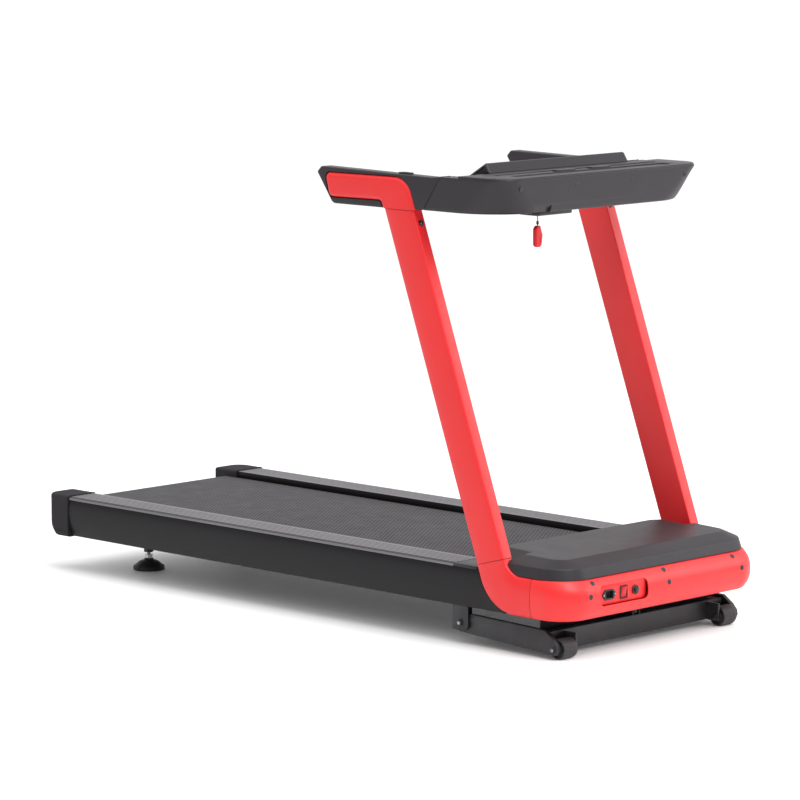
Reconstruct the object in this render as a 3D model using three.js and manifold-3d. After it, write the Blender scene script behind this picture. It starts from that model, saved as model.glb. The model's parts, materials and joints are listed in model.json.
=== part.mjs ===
// Flat-deck motorised treadmill with folding uprights and powered incline.
// Millimetres. +X is forward (motor end), +Y is the user's left, +Z is up, Z = 0 is the floor.
import * as THREE from 'three';
import ManifoldModule from 'manifold-3d';
import { mergeVertices } from 'three/addons/utils/BufferGeometryUtils.js';

const wasm = await ManifoldModule();
wasm.setup();

// ---- overall ----
const FRONT_X = 911;
const REAR_X = -930;
const CENTRE_SHIFT = -(FRONT_X + REAR_X) / 2;
const GAP = 0.4;
// ---- rails ----
const RAIL_OUT = 345;
const RAIL_IN = 257;
const RAIL_TOP = 197;
const RAIL_SEAM_Z = 188.5;
const RAIL_BOTTOM = 93.6;
const CAP_SEAM_X = -840;
const RAIL_FRONT_X = 695;
const RAIL_OPEN_X = 632;
const RIB_END_X = 538;
const RIB_COUNT = 6;
const RIB_HEIGHT = 2;
const RIB_GROOVE = 3.6;
// ---- deck, belt and rollers ----
const ROLLER_R = 22.5;
const ROLLER_Z = 158;
const ROLLER_REAR_X = -869;
const ROLLER_FRONT_X = 671;
const BELT_HALF = 240;
const BELT_T = 2;
const DECK_T = 18;
const DECK_HALF = 255;
// ---- red tube frame ----
const TUBE_OUT = 354.6;
const TUBE_IN = 320.8;
const TUBE_WALL = 2.5;
const LEAN = 0.37;
const UPR_FRONT_0 = 790.2;
const UPR_REAR_0 = 690.4;
const HINGE_REAR = [618, 201];
const HINGE_FRONT = [706, 225];
const UPR_TOP_Z = 1022;
const TUBE_LOW_Z = 95;
const TUBE_HIGH_Z = 190;
const ELBOW_END_X = 792;
const BUMPER_R = 80;
// ---- motor hood ----
const HOOD_REAR_X = 634;
const HOOD_FRONT_X = 890;
const HOOD_HALF = 346;
const HOOD_HALF_REAR = 316;
const HOOD_WALL = 3;
const HOOD_WING_X = 686;
// ---- incline frame ----
const PIVOT_X = 547;
const PIVOT_Z = 51;
const ARM_IN = 312.5;
const ARM_OUT = 325;
const WHEEL_X = 840;
const WHEEL_R = 24.5;
const WHEEL_OUT = 311;
const WHEEL_W = 47;
// ---- console and handles ----
const CON_BOTTOM = 1026;
const CON_TOP = 1108;
const CON_FRONT_TOP = 708;
const CON_FRONT_BOTTOM = 690;
const CON_REAR_X = 418;
const CON_HALF = 357;
const CON_INSET = 4;
const CON_CORNER = 132;
const CON_CORNER_TOP = 58;
const HANDLE_IN = 316.5;
const HANDLE_OUT = 352;
const HUMP_HALF = 248;
const HUMP_X = 546;
const HUMP_Z = 1138;
const KEY_ROW_X = 628;
const KEY_ROW_Y = 62;
const KEY_X = 636;
const KEY_Y = -162;
const SOCKET_Z = 1015.5;

const RED = { color: 0xd21f24, roughness: 0.32, metalness: 0.15 };
const CHARCOAL = { color: 0x2e2d30, roughness: 0.6, metalness: 0.0 };
const RAIL = { color: 0x2b2a2c, roughness: 0.42, metalness: 0.5 };
const BLACK = { color: 0x121213, roughness: 0.75, metalness: 0.0 };
const STEEL = { color: 0xb9bcc0, roughness: 0.3, metalness: 1.0 };

// ---- helpers ----
function node(name, geometry, material) {
  const mesh = new THREE.Mesh(geometry, new THREE.MeshStandardMaterial(material));
  mesh.name = name;
  return mesh;
}

// rounds the corners of a polygon given as [x, y, radius] rows
function rounded(rows, steps = 5) {
  const out = [];
  const n = rows.length;
  for (let i = 0; i < n; i++) {
    const [x, y, r] = rows[i];
    if (!r) {
      out.push([x, y]);
      continue;
    }
    const a = rows[(i + n - 1) % n];
    const b = rows[(i + 1) % n];
    const p = new THREE.Vector2(x, y);
    const u = new THREE.Vector2(a[0] - x, a[1] - y).normalize();
    const v = new THREE.Vector2(b[0] - x, b[1] - y).normalize();
    const half = Math.acos(THREE.MathUtils.clamp(u.dot(v), -1, 1)) / 2;
    const back = r / Math.tan(half);
    const mid = u.clone().add(v).normalize();
    const c = p.clone().addScaledVector(mid, r / Math.sin(half));
    const s = p.clone().addScaledVector(u, back).sub(c);
    const e = p.clone().addScaledVector(v, back).sub(c);
    const a0 = Math.atan2(s.y, s.x);
    let da = Math.atan2(e.y, e.x) - a0;
    if (da > Math.PI) da -= 2 * Math.PI;
    if (da < -Math.PI) da += 2 * Math.PI;
    for (let k = 0; k <= steps; k++) {
      const t = a0 + da * k / steps;
      out.push([c.x + r * Math.cos(t), c.y + r * Math.sin(t)]);
    }
  }
  return out;
}

function shapeOf(points) {
  return new THREE.Shape(points.map((p) => new THREE.Vector2(p[0], p[1])));
}

function extrude(points, length, bevel = 0, bevelSegments = 2) {
  return new THREE.ExtrudeGeometry(shapeOf(points), {
    depth: length - 2 * bevel,
    bevelEnabled: bevel > 0,
    bevelThickness: bevel,
    bevelSize: bevel,
    bevelOffset: -bevel,
    bevelSegments,
    curveSegments: 12,
  }).translate(0, 0, bevel);
}

// outline in plan (x, y), raised from z0 to z1
function plan(points, z0, z1, bevel = 0) {
  return extrude(points, z1 - z0, bevel).translate(0, 0, z0);
}

// outline in side view (x, z), from y0 to y1
function side(points, y0, y1, bevel = 0) {
  return extrude(points, y1 - y0, bevel).rotateX(Math.PI / 2).translate(0, y1, 0);
}

// outline in end view (y, z), from x0 to x1
function ends(points, x0, x1, bevel = 0) {
  const turn = new THREE.Matrix4().set(0, 0, 1, 0, 1, 0, 0, 0, 0, 1, 0, 0, 0, 0, 0, 1);
  return extrude(points, x1 - x0, bevel).applyMatrix4(turn).translate(x0, 0, 0);
}

function block(x0, x1, y0, y1, z0, z1) {
  return new THREE.BoxGeometry(x1 - x0, y1 - y0, z1 - z0)
    .translate((x0 + x1) / 2, (y0 + y1) / 2, (z0 + z1) / 2);
}

function rod(r, length, axis, x, y, z, segments = 24) {
  const g = new THREE.CylinderGeometry(r, r, length, segments);
  if (axis === 'x') g.rotateZ(-Math.PI / 2);
  if (axis === 'z') g.rotateX(Math.PI / 2);
  return g.translate(x, y, z);
}

// turned piece about the Z axis from [radius, z] rows
function turned(rows, segments = 28) {
  const g = new THREE.LatheGeometry(rows.map((p) => new THREE.Vector2(p[0], p[1])), segments);
  return g.rotateX(Math.PI / 2);
}

function solid(geometry) {
  let g = geometry.clone();
  g.deleteAttribute('normal');
  g.deleteAttribute('uv');
  g = mergeVertices(g, 1e-4);
  return new wasm.Manifold(new wasm.Mesh({
    numProp: 3,
    vertProperties: new Float32Array(g.attributes.position.array),
    triVerts: new Uint32Array(g.index.array),
  }));
}

function geometryOf(body) {
  const mesh = body.getMesh();
  const g = new THREE.BufferGeometry();
  g.setAttribute('position', new THREE.BufferAttribute(new Float32Array(mesh.vertProperties), 3));
  g.setIndex(new THREE.BufferAttribute(new Uint32Array(mesh.triVerts), 1));
  return g;
}

function cut(base, ...tools) {
  let body = solid(base);
  for (const t of tools) body = body.subtract(solid(t));
  return geometryOf(body);
}

function join(...pieces) {
  let body = solid(pieces[0]);
  for (const p of pieces.slice(1)) body = body.add(solid(p));
  return geometryOf(body);
}

function mirrored(geometry) {
  const g = geometry.clone().scale(1, -1, 1);
  if (g.index) {
    const a = g.index.array;
    for (let i = 0; i < a.length; i += 3) [a[i], a[i + 1]] = [a[i + 1], a[i]];
    return g;
  }
  const p = g.attributes.position.array;
  for (let i = 0; i < p.length; i += 9) {
    for (let k = 0; k < 3; k++) [p[i + k], p[i + 3 + k]] = [p[i + 3 + k], p[i + k]];
  }
  g.deleteAttribute('normal');
  g.deleteAttribute('uv');
  return g;
}

// closed skin through rings of [x, y, z]; wall rings inside make it an open-ended tube
function loft(outer, inner = null) {
  const verts = [];
  const index = [];
  const n = outer[0].length;
  for (const ring of outer) verts.push(...ring);
  const quad = (a, b, c, d, flip) => {
    if (flip) index.push(a, c, b, a, d, c);
    else index.push(a, b, c, a, c, d);
  };
  const skin = (start, count, flip) => {
    for (let i = 0; i + 1 < count; i++) {
      for (let k = 0; k < n; k++) {
        const k2 = (k + 1) % n;
        const a = start + i * n;
        quad(a + k, a + k2, a + n + k2, a + n + k, flip);
      }
    }
  };
  skin(0, outer.length, false);
  const last = (outer.length - 1) * n;
  if (inner) {
    const base = outer.length * n;
    for (const ring of inner) verts.push(...ring);
    skin(base, inner.length, true);
    for (let k = 0; k < n; k++) {
      const k2 = (k + 1) % n;
      quad(k, base + k, base + k2, k2, false);
      quad(last + k, base + last + k, base + last + k2, last + k2, true);
    }
  } else {
    for (const [start, flip] of [[0, true], [last, false]]) {
      const c = [0, 0, 0];
      for (let k = 0; k < n; k++) for (let j = 0; j < 3; j++) c[j] += verts[start + k][j] / n;
      const ci = verts.length;
      verts.push(c);
      for (let k = 0; k < n; k++) {
        const k2 = (k + 1) % n;
        if (flip) index.push(ci, start + k2, start + k);
        else index.push(ci, start + k, start + k2);
      }
    }
  }
  const g = new THREE.BufferGeometry();
  g.setAttribute('position', new THREE.BufferAttribute(new Float32Array(verts.flat()), 3));
  g.setIndex(index);
  let volume = 0;
  const v = verts;
  for (let i = 0; i < index.length; i += 3) {
    const [a, b, c] = [v[index[i]], v[index[i + 1]], v[index[i + 2]]];
    volume += a[0] * (b[1] * c[2] - b[2] * c[1]) - a[1] * (b[0] * c[2] - b[2] * c[0])
      + a[2] * (b[0] * c[1] - b[1] * c[0]);
  }
  if (volume < 0) {
    for (let i = 0; i < index.length; i += 3) [index[i], index[i + 1]] = [index[i + 1], index[i]];
    g.setIndex(index);
  }
  return g;
}

// ---- red tube section: s runs 0 (front or top) to 1 (rear or bottom), u runs inner face to outer face
function tubeSection(inset, bulge) {
  const depth = TUBE_OUT - TUBE_IN;
  const high = TUBE_HIGH_Z - TUBE_LOW_Z;
  const out = [];
  const steps = 8;
  const si = inset / high;
  out.push([si, inset]);
  for (let k = 0; k <= steps; k++) {
    const s = k / steps;
    const t = 2 * s - 1;
    const u = depth - bulge[t < 0 ? 0 : 1] * Math.pow(Math.abs(t), 2.4) - inset;
    out.push([si + s * (1 - 2 * si), Math.max(u, inset + 1)]);
  }
  out.push([1 - si, inset]);
  return out;
}

// rings between a front contour and a rear contour in side view
function tubeBetween(front, rear, bulgeAt, y0) {
  const ring = (inset) => front.map((f, i) => {
    const section = tubeSection(inset, bulgeAt(i / (front.length - 1)));
    return section.map(([s, u]) => [
      f[0] + (rear[i][0] - f[0]) * s,
      y0 + u,
      f[1] + (rear[i][1] - f[1]) * s,
    ]);
  });
  return loft(ring(0), ring(TUBE_WALL));
}

function uprightEdge(x0, z) {
  return [x0 - LEAN * z, z];
}

function upright() {
  const rear = [[HINGE_REAR[0], HINGE_REAR[1] + GAP], uprightEdge(UPR_REAR_0, UPR_TOP_Z)];
  const front = [[HINGE_FRONT[0], HINGE_FRONT[1] + GAP], uprightEdge(UPR_FRONT_0, UPR_TOP_Z)];
  return tubeBetween(front, rear, () => [2, 5], TUBE_IN);
}

function fillet(from, corner, to, r, steps) {
  return rounded([[...from, 0], [...corner, r], [...to, 0]], steps);
}

function elbowContours() {
  const top = [ELBOW_END_X, TUBE_HIGH_Z];
  const low = [ELBOW_END_X, TUBE_LOW_Z];
  const frontCorner = [UPR_FRONT_0 - LEAN * TUBE_HIGH_Z, TUBE_HIGH_Z];
  const rearCorner = [UPR_REAR_0 - LEAN * TUBE_LOW_Z, TUBE_LOW_Z];
  const front = fillet(HINGE_FRONT, frontCorner, top, 50, 12);
  const rear = fillet(HINGE_REAR, rearCorner, low, 112, 12);
  return [front, rear];
}

function baseElbow() {
  const [front, rear] = elbowContours();
  const bulge = (t) => [2 + 6 * t, 5 + 3 * t];
  return tubeBetween(front, rear, bulge, TUBE_IN);
}

// solid envelope of an elbow, for trimming its neighbours
function elbowEnvelope() {
  const [front, rear] = elbowContours();
  const outline = [...front.map((p) => [p[0] + 0.2, p[1] + 0.9]), [ELBOW_END_X + 40, TUBE_HIGH_Z + 0.6],
    [ELBOW_END_X + 40, TUBE_LOW_Z - 1], ...rear.slice().reverse().map((p) => [p[0] - 0.6, p[1] - 0.6])];
  return side(outline, TUBE_IN - 1, TUBE_OUT + 20);
}

// bumper path in plan: inner face line with outward normals
function bumperPath(outer) {
  const pts = [];
  const cy = outer - BUMPER_R;
  const cx = FRONT_X - BUMPER_R;
  const steps = 9;
  pts.push([ELBOW_END_X + GAP, outer, 0, 1]);
  for (let k = 0; k <= steps; k++) {
    const a = Math.PI / 2 - (Math.PI / 2) * k / steps;
    pts.push([cx + BUMPER_R * Math.cos(a), cy + BUMPER_R * Math.sin(a), Math.cos(a), Math.sin(a)]);
  }
  const left = pts.slice();
  for (const p of left.reverse()) pts.push([p[0], -p[1], p[2], -p[3]]);
  return pts;
}

function frontBumper() {
  const depth = TUBE_OUT - TUBE_IN;
  const high = TUBE_HIGH_Z - TUBE_LOW_Z;
  const ring = (inset) => bumperPath(TUBE_OUT).map(([x, y, nx, ny]) => {
    const bulge = [8 + 16 * nx, 8 + 12 * nx];
    return tubeSection(inset, bulge)
      .map(([s, u]) => [x + nx * (u - depth), y + ny * (u - depth), TUBE_HIGH_Z - high * s]);
  });
  const shell = loft(ring(0), ring(TUBE_WALL));
  const window = ends(rounded([[-236, 124, 12], [-70, 124, 12], [-70, 172, 12], [-236, 172, 12]], 4),
    FRONT_X - 20, FRONT_X + 20);
  return cut(shell, window);
}

// ---- rails ----
function sideRail() {
  const web = [[343.8, 188.2], [346.2, 178], [346.9, 162], [346.2, 140], [342.6, 115], [335.4, RAIL_BOTTOM]];
  const inner = [[332.6, 96.8], [339.3, 116], [343, 140], [343.6, 162], [341.5, 185]];
  const outline = [[262, 188.2], ...web, [266, RAIL_BOTTOM], [266, 96.8], ...inner, [262, 185]];
  return cut(ends(outline, CAP_SEAM_X, RAIL_FRONT_X), elbowEnvelope(),
    block(RAIL_OPEN_X, RAIL_FRONT_X + 5, 250, 330, 110, 200));
}

function footStrip() {
  const pitch = 74 / RIB_COUNT;
  const top = [];
  for (let i = 0; i < RIB_COUNT; i++) {
    const y = 264 + i * pitch;
    top.push([y, RAIL_TOP - RIB_HEIGHT], [y + 1, RAIL_TOP]);
    top.push([y + pitch - RIB_GROOVE - 1, RAIL_TOP], [y + pitch - RIB_GROOVE, RAIL_TOP - RIB_HEIGHT]);
  }
  const outline = [[RAIL_IN, 178], [RAIL_IN, RAIL_TOP - 1], [RAIL_IN + 1, RAIL_TOP], [262.5, RAIL_TOP],
    ...top, [RAIL_OUT - 4, RAIL_TOP - 1], [RAIL_OUT, RAIL_TOP - 5], [RAIL_OUT + 0.4, RAIL_SEAM_Z],
    [RAIL_IN + 3, RAIL_SEAM_Z], [RAIL_IN + 3, 178]];
  return ends(outline.reverse(), CAP_SEAM_X, RIB_END_X);
}

function railCover() {
  const outline = rounded([[RIB_END_X + GAP, RAIL_IN, 0], [632, RAIL_IN, 0], [632, 315, 0], [616, 315, 0],
    [616, RAIL_OUT, 0], [RIB_END_X + GAP, RAIL_OUT, 0]]);
  return plan(outline, RAIL_SEAM_Z, RAIL_TOP - 0.6);
}

function endCap() {
  const outline = rounded([[REAR_X, 253, 10], [CAP_SEAM_X - 3.4, 253, 0], [CAP_SEAM_X - 3.4, 348, 0],
    [REAR_X, 348, 38]], 7);
  const heel = side([[REAR_X - 5, 80], [REAR_X + 24, 80], [REAR_X + 24, 90.5], [REAR_X + 9, 97],
    [REAR_X + 2.5, 107], [REAR_X, 125], [REAR_X - 5, 125]], 240, 360);
  return cut(plan(outline, 91.5, 199, 5), heel);
}

function endGasket() {
  const outline = rounded([[254, 92, 4], [348.4, 92, 5], [348.4, 199, 5], [254, 199, 4]], 3);
  return ends(outline, CAP_SEAM_X - 3, CAP_SEAM_X - GAP);
}

// ---- deck group ----
function crossMember(x) {
  const tube = ends(rounded([[-331, 97.4, 0], [331, 97.4, 0], [331, 127, 0], [-331, 127, 0]]), x - 20, x + 20);
  return cut(tube, block(x - 17.5, x + 17.5, -340, 340, 99.9, 124.5));
}

function rearCrossMember(x) {
  const bosses = [-175, 175].map((y) => block(x - 15, x + 15, y - 15, y + 15, 98, 126));
  const holes = [-175, 175].map((y) => rod(5.6, 60, 'z', x, y, 112, 20));
  return cut(join(crossMember(x), ...bosses), ...holes);
}

function loopOutline(r) {
  const out = [];
  const steps = 14;
  for (let k = 0; k <= steps; k++) {
    const a = -Math.PI / 2 + Math.PI * k / steps;
    out.push([ROLLER_FRONT_X + r * Math.cos(a), ROLLER_Z + r * Math.sin(a)]);
  }
  for (let k = 0; k <= steps; k++) {
    const a = Math.PI / 2 + Math.PI * k / steps;
    out.push([ROLLER_REAR_X + r * Math.cos(a), ROLLER_Z + r * Math.sin(a)]);
  }
  return out;
}

function runningBelt() {
  const shape = shapeOf(loopOutline(ROLLER_R + 0.3 + BELT_T));
  shape.holes.push(new THREE.Path(loopOutline(ROLLER_R + 0.3).map((p) => new THREE.Vector2(p[0], p[1]))));
  return new THREE.ExtrudeGeometry(shape, { depth: 2 * BELT_HALF, bevelEnabled: false })
    .rotateX(Math.PI / 2).translate(0, BELT_HALF, 0);
}

function runningDeck() {
  const top = ROLLER_Z + ROLLER_R;
  return plan(rounded([[-838, -DECK_HALF, 6], [640, -DECK_HALF, 6], [640, DECK_HALF, 6],
    [-838, DECK_HALF, 6]], 2), top - DECK_T, top - 0.2);
}

function deckStringer() {
  return block(-832, 636, 243, 255.5, 127.6, ROLLER_Z + ROLLER_R - DECK_T - GAP);
}

function roller(x, withPulley) {
  const shaft = rod(8, 500, 'y', x, 0, ROLLER_Z, 16);
  const drum = rod(ROLLER_R, 484, 'y', x, 0, ROLLER_Z, 32);
  if (!withPulley) return join(drum, shaft);
  const long = rod(8, 40, 'y', x, 262, ROLLER_Z, 16);
  const pulley = rod(30, 18, 'y', x, 275, ROLLER_Z, 32);
  return join(drum, shaft, long, pulley);
}

// ---- motor bay ----
const MOTOR_X = 762;
const MOTOR_Z = 148;
const TUBE_SLIDE_X = 806;

function basePan() {
  const floor = plan(rounded([[661, -318, 0], [800, -318, 0], [858, -250, 0], [858, 250, 0],
    [800, 318, 0], [661, 318, 0]]), 97.4, 99.4);
  const apron = block(776, 778.8, -300, 300, 56, 98.4);
  return cut(join(floor, apron), rod(17, 20, 'z', TUBE_SLIDE_X, 0, 98, 24));
}

function driveMotor() {
  const body = rod(42, 170, 'y', MOTOR_X, 150, MOTOR_Z, 32);
  const cap = rod(36, 200, 'y', MOTOR_X, 150, MOTOR_Z, 32);
  const foot = block(MOTOR_X - 30, MOTOR_X + 30, 90, 210, 99.8, 120);
  return join(body, cap, foot);
}

function motorPulley() {
  return join(rod(14, 18, 'y', MOTOR_X, 275, MOTOR_Z, 24), rod(5, 14, 'y', MOTOR_X, 260, MOTOR_Z, 16));
}

function driveBelt() {
  const a = [ROLLER_FRONT_X, ROLLER_Z];
  const b = [MOTOR_X, MOTOR_Z];
  const len = Math.hypot(b[0] - a[0], b[1] - a[1]);
  const tilt = Math.atan2(b[1] - a[1], b[0] - a[0]);
  const loop = (ra, rb) => {
    const off = Math.acos((ra - rb) / len);
    const out = [];
    for (let k = 0; k <= 14; k++) {
      const t = tilt + off + (2 * Math.PI - 2 * off) * k / 14;
      out.push(new THREE.Vector2(a[0] + ra * Math.cos(t), a[1] + ra * Math.sin(t)));
    }
    for (let k = 0; k <= 10; k++) {
      const t = tilt - off + 2 * off * k / 10;
      out.push(new THREE.Vector2(b[0] + rb * Math.cos(t), b[1] + rb * Math.sin(t)));
    }
    return out;
  };
  const shape = new THREE.Shape(loop(32.4, 16.4));
  shape.holes.push(new THREE.Path(loop(30.4, 14.4)));
  return new THREE.ExtrudeGeometry(shape, { depth: 14, bevelEnabled: false })
    .rotateX(Math.PI / 2).translate(0, 282, 0);
}

function motorController() {
  const box = plan(rounded([[705, -240, 4], [790, -240, 4], [790, -90, 4], [705, -90, 4]], 3), 99.8, 150, 2);
  const fins = [];
  for (let i = 0; i < 8; i++) fins.push(block(712 + i * 10, 715 + i * 10, -236, -94, 149, 168));
  return join(box, ...fins);
}

function inclineMotor() {
  const gearbox = block(770, 838, -34, 34, 128, 176);
  const can = rod(24, 60, 'x', 742, 0, 152, 24);
  const legs = [-30, 26].map((y) => block(776, 832, y, y + 4, 99.8, 129));
  return cut(join(gearbox, can, ...legs), rod(12.6, 90, 'z', TUBE_SLIDE_X, 0, 152, 24));
}

function inclineTube() {
  return join(rod(11, 122, 'z', TUBE_SLIDE_X, 0, 139, 24), rod(6, 20, 'z', TUBE_SLIDE_X, 0, 75, 16));
}

function hoodRing(z, inset, frontX, rear, halfRear) {
  const r = 80 - inset;
  const half = HOOD_HALF - inset;
  const left = [[rear[0], rear[1]], [rear[0] + 14, halfRear], [HOOD_WING_X + inset, halfRear], [HOOD_WING_X + 6 + inset, half]];
  const cx = frontX - r;
  for (let k = 0; k <= 7; k++) {
    const a = Math.PI / 2 - (Math.PI / 2) * k / 7;
    left.push([cx + r * Math.cos(a), half - r + r * Math.sin(a)]);
  }
  const right = left.slice().reverse().map(([x, y]) => [x, -y]);
  return [...left, ...right].map(([x, y]) => [x, y, z(x)]);
}

function hoodBody(shrink) {
  const rear = [HOOD_REAR_X + shrink, 296 - shrink];
  const half = HOOD_HALF_REAR - shrink;
  return loft([
    hoodRing(() => TUBE_HIGH_Z + 0.7 - (shrink ? 4 : 0), shrink, HOOD_FRONT_X - shrink, rear, half),
    hoodRing(() => 216 - shrink, 4 + shrink, 881 - shrink, rear, half - 2),
    hoodRing((x) => 240 - 0.038 * (x - HOOD_REAR_X) - shrink, 42 + shrink, 842 - shrink,
      [rear[0] + 2, 250 - shrink], 274 - shrink),
  ]);
}

function motorHood() {
  const lift = block(600, 726, -330, 330, 150, 198);
  const leg = side([[HINGE_REAR[0] - 20, HINGE_REAR[1]], [uprightEdge(UPR_FRONT_0, 200)[0] + 1.6, 200],
    uprightEdge(UPR_FRONT_0 + 1.6, 260), [HINGE_REAR[0] - 20, 260]], TUBE_IN - 1, TUBE_OUT + 20);
  const envelope = elbowEnvelope();
  return cut(hoodBody(0), hoodBody(HOOD_WALL), lift, envelope, mirrored(envelope), leg, mirrored(leg));
}

// ---- power panel ----
const PANEL_X = 902;
const PANEL_Z = 148;
const INLET_Y = -201;
const SWITCH_Y = -149;
const BREAKER_Y = -108;

function powerPanel() {
  const plate = ends(rounded([[-235.4, 124.6, 11.4], [-70.6, 124.6, 11.4], [-70.6, 171.4, 11.4], [-235.4, 171.4, 11.4]], 4),
    PANEL_X - 3, PANEL_X);
  return cut(plate, ends(inletOutline(0.3), PANEL_X - 10, PANEL_X + 10),
    block(PANEL_X - 10, PANEL_X + 10, SWITCH_Y - 10.3, SWITCH_Y + 10.3, PANEL_Z - 13.8, PANEL_Z + 13.8),
    rod(6.3, 30, 'x', PANEL_X, BREAKER_Y, PANEL_Z, 20));
}

function inletOutline(grow) {
  const g = grow;
  return [[-25 - g, 0], [-14, -12 - g], [14, -12 - g], [25 + g, 0], [14, 12 + g], [-14, 12 + g]]
    .map(([y, z]) => [INLET_Y + y, PANEL_Z + z]);
}

function powerInlet() {
  const body = ends(inletOutline(0), PANEL_X - 14, PANEL_X + 3);
  const mouthOutline = [[-13, -8.6], [13, -8.6], [13, 6.5], [10.5, 9], [-10.5, 9], [-13, 6.5]]
    .map(([y, z]) => [INLET_Y + y, PANEL_Z + z]);
  const mouth = ends(mouthOutline, PANEL_X - 9, PANEL_X + 8);
  const pins = [[-6, -2], [6, -2], [0, 3]].map(([y, z]) =>
    block(PANEL_X - 10, PANEL_X - 4, INLET_Y + y - 0.8, INLET_Y + y + 0.8, PANEL_Z + z - 2, PANEL_Z + z + 2));
  return join(cut(body, mouth), ...pins);
}

function rockerSwitch() {
  const outline = [[PANEL_X - 8, PANEL_Z - 12], [PANEL_X + 1, PANEL_Z - 12.6], [PANEL_X + 2, PANEL_Z],
    [PANEL_X + 4.5, PANEL_Z + 12.6], [PANEL_X - 8, PANEL_Z + 12]];
  return side(outline, SWITCH_Y - 9, SWITCH_Y + 9, 0.8);
}

// ---- incline frame ----
function pivotBracket() {
  const x0 = PIVOT_X - 24;
  const x1 = PIVOT_X + 26;
  const plate = side(rounded([[x0, 93.2, 0], [x0, 33, 4], [x1, 33, 16], [x1, 93.2, 0]], 5),
    ARM_OUT + 1.5, ARM_OUT + 5.5);
  const foot = block(x0, x1, ARM_IN - 5.5, ARM_OUT + 5.5, 90.2, 93.2);
  const inner = side(rounded([[x0 + 6, 92, 0], [x0 + 6, 37, 6], [x1 - 8, 37, 12], [x1 - 8, 92, 0]], 4),
    ARM_IN - 5.5, ARM_IN - 1.5);
  const bolt = rod(6, 24, 'y', PIVOT_X, 319, PIVOT_Z, 20);
  const head = rod(9, 5, 'y', PIVOT_X, ARM_OUT + 7.6, PIVOT_Z, 6);
  return join(plate, foot, inner, bolt, head);
}

function inclineFrame() {
  const outline = [[533, 70], [533, 34], [544, 29], [828, 13], [842, 11], [850, 13], [855, 23], [853, 35],
    [840, 49.5], [813, 67.4], [577, 74]];
  const hollow = [[520, 67.5], [520, 38], [544, 32.5], [812, 17.5], [812, 64.5], [577, 71]];
  const arm = cut(side(outline, ARM_IN, ARM_OUT), side(hollow, ARM_IN + 2.5, ARM_OUT - 2.5),
    rod(6.4, 60, 'y', PIVOT_X, 319, PIVOT_Z, 20));
  const beam = cut(block(780, 813, -314, 314, 14.5, 61), block(782.5, 810.5, -300, 300, 10, 58.5));
  const bolts = rod(6, 72, 'y', WHEEL_X, 289, WHEEL_R, 16);
  const lug = block(805, 852, 254, 260, 15, 58);
  const head = rod(8, 4, 'y', WHEEL_X, ARM_OUT + 1.9, WHEEL_R, 6);
  const halves = [arm, bolts, lug, head];
  const eyes = [-14, 10].map((y) => block(798, 812, y, y + 4, 60, 74));
  return join(beam, ...halves, ...halves.map(mirrored), ...eyes);
}

function wheel() {
  const rows = [[6.5, 2], [12, 2], [14, 5], [19, 5], [21, 1.5], [24.5, 0], [WHEEL_R, 3],
    [WHEEL_R, WHEEL_W - 3], [24.5, WHEEL_W], [21, WHEEL_W - 1.5], [19, WHEEL_W - 5], [14, WHEEL_W - 5],
    [12, WHEEL_W - 2], [6.5, WHEEL_W - 2], [6.5, 2]];
  return turned(rows, 32).rotateX(-Math.PI / 2).translate(WHEEL_X, WHEEL_OUT - WHEEL_W, WHEEL_R);
}

// ---- levelling feet ----
const FOOT_X = -721;
const FOOT_Y = 175;

function footPad() {
  const rows = [[0, 0], [40, 0], [41, 3], [41, 9], [38, 12], [27, 21], [12, 27], [12, 29], [5.6, 29],
    [5.6, 10], [0, 10]];
  return turned(rows, 36).translate(FOOT_X, FOOT_Y, 0);
}

function footStem() {
  const rows = [[0, 10.4], [5.2, 10.4], [5.2, 46], [13, 46], [13, 56], [5.2, 56], [5.2, 119], [0, 119]];
  return turned(rows, 20).translate(FOOT_X, FOOT_Y, 0);
}

// ---- console ----
function consoleRing(z, t, grow) {
  const inset = CON_INSET * (1 - t) - grow;
  const front = CON_FRONT_BOTTOM + (CON_FRONT_TOP - CON_FRONT_BOTTOM) * t + grow;
  const seam = 446 + 60 * (z - CON_BOTTOM) / (CON_TOP - CON_BOTTOM);
  const half = CON_HALF - inset;
  const r = CON_CORNER + (CON_CORNER_TOP - CON_CORNER) * t;
  const inner = Math.min(313, 316 + grow);
  const left = [[CON_REAR_X - grow, inner], [seam - grow, inner], [seam + 1 - grow, half]];
  for (let k = 0; k <= 9; k++) {
    const a = Math.PI / 2 - (Math.PI / 2) * k / 9;
    left.push([front - r + r * Math.cos(a), half - r + r * Math.sin(a)]);
  }
  const right = left.slice().reverse().map(([x, y]) => [x, -y]);
  return [...left, ...right].map(([x, y]) => [x, y, z]);
}

function consoleBody(grow, z0, z1) {
  const rings = [];
  for (const t of [0, 0.12, 0.5, 1]) rings.push(consoleRing(z0 + (z1 - z0) * t, t, grow));
  return loft(rings);
}

function consoleShell() {
  const slope = side([[380, 1030], [CON_REAR_X, 1034], [557, 1105], [557, 1140], [380, 1140]], -313.6, 313.6);
  const cavity = consoleBody(-3.5, CON_BOTTOM + 3.5, CON_TOP + 4);
  const notch = side([[660, 1010], [720, 1010], [720, 1052], [702, 1052]], -236, -176);
  return cut(consoleBody(0, CON_BOTTOM, CON_TOP), cavity, slope, notch);
}

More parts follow.
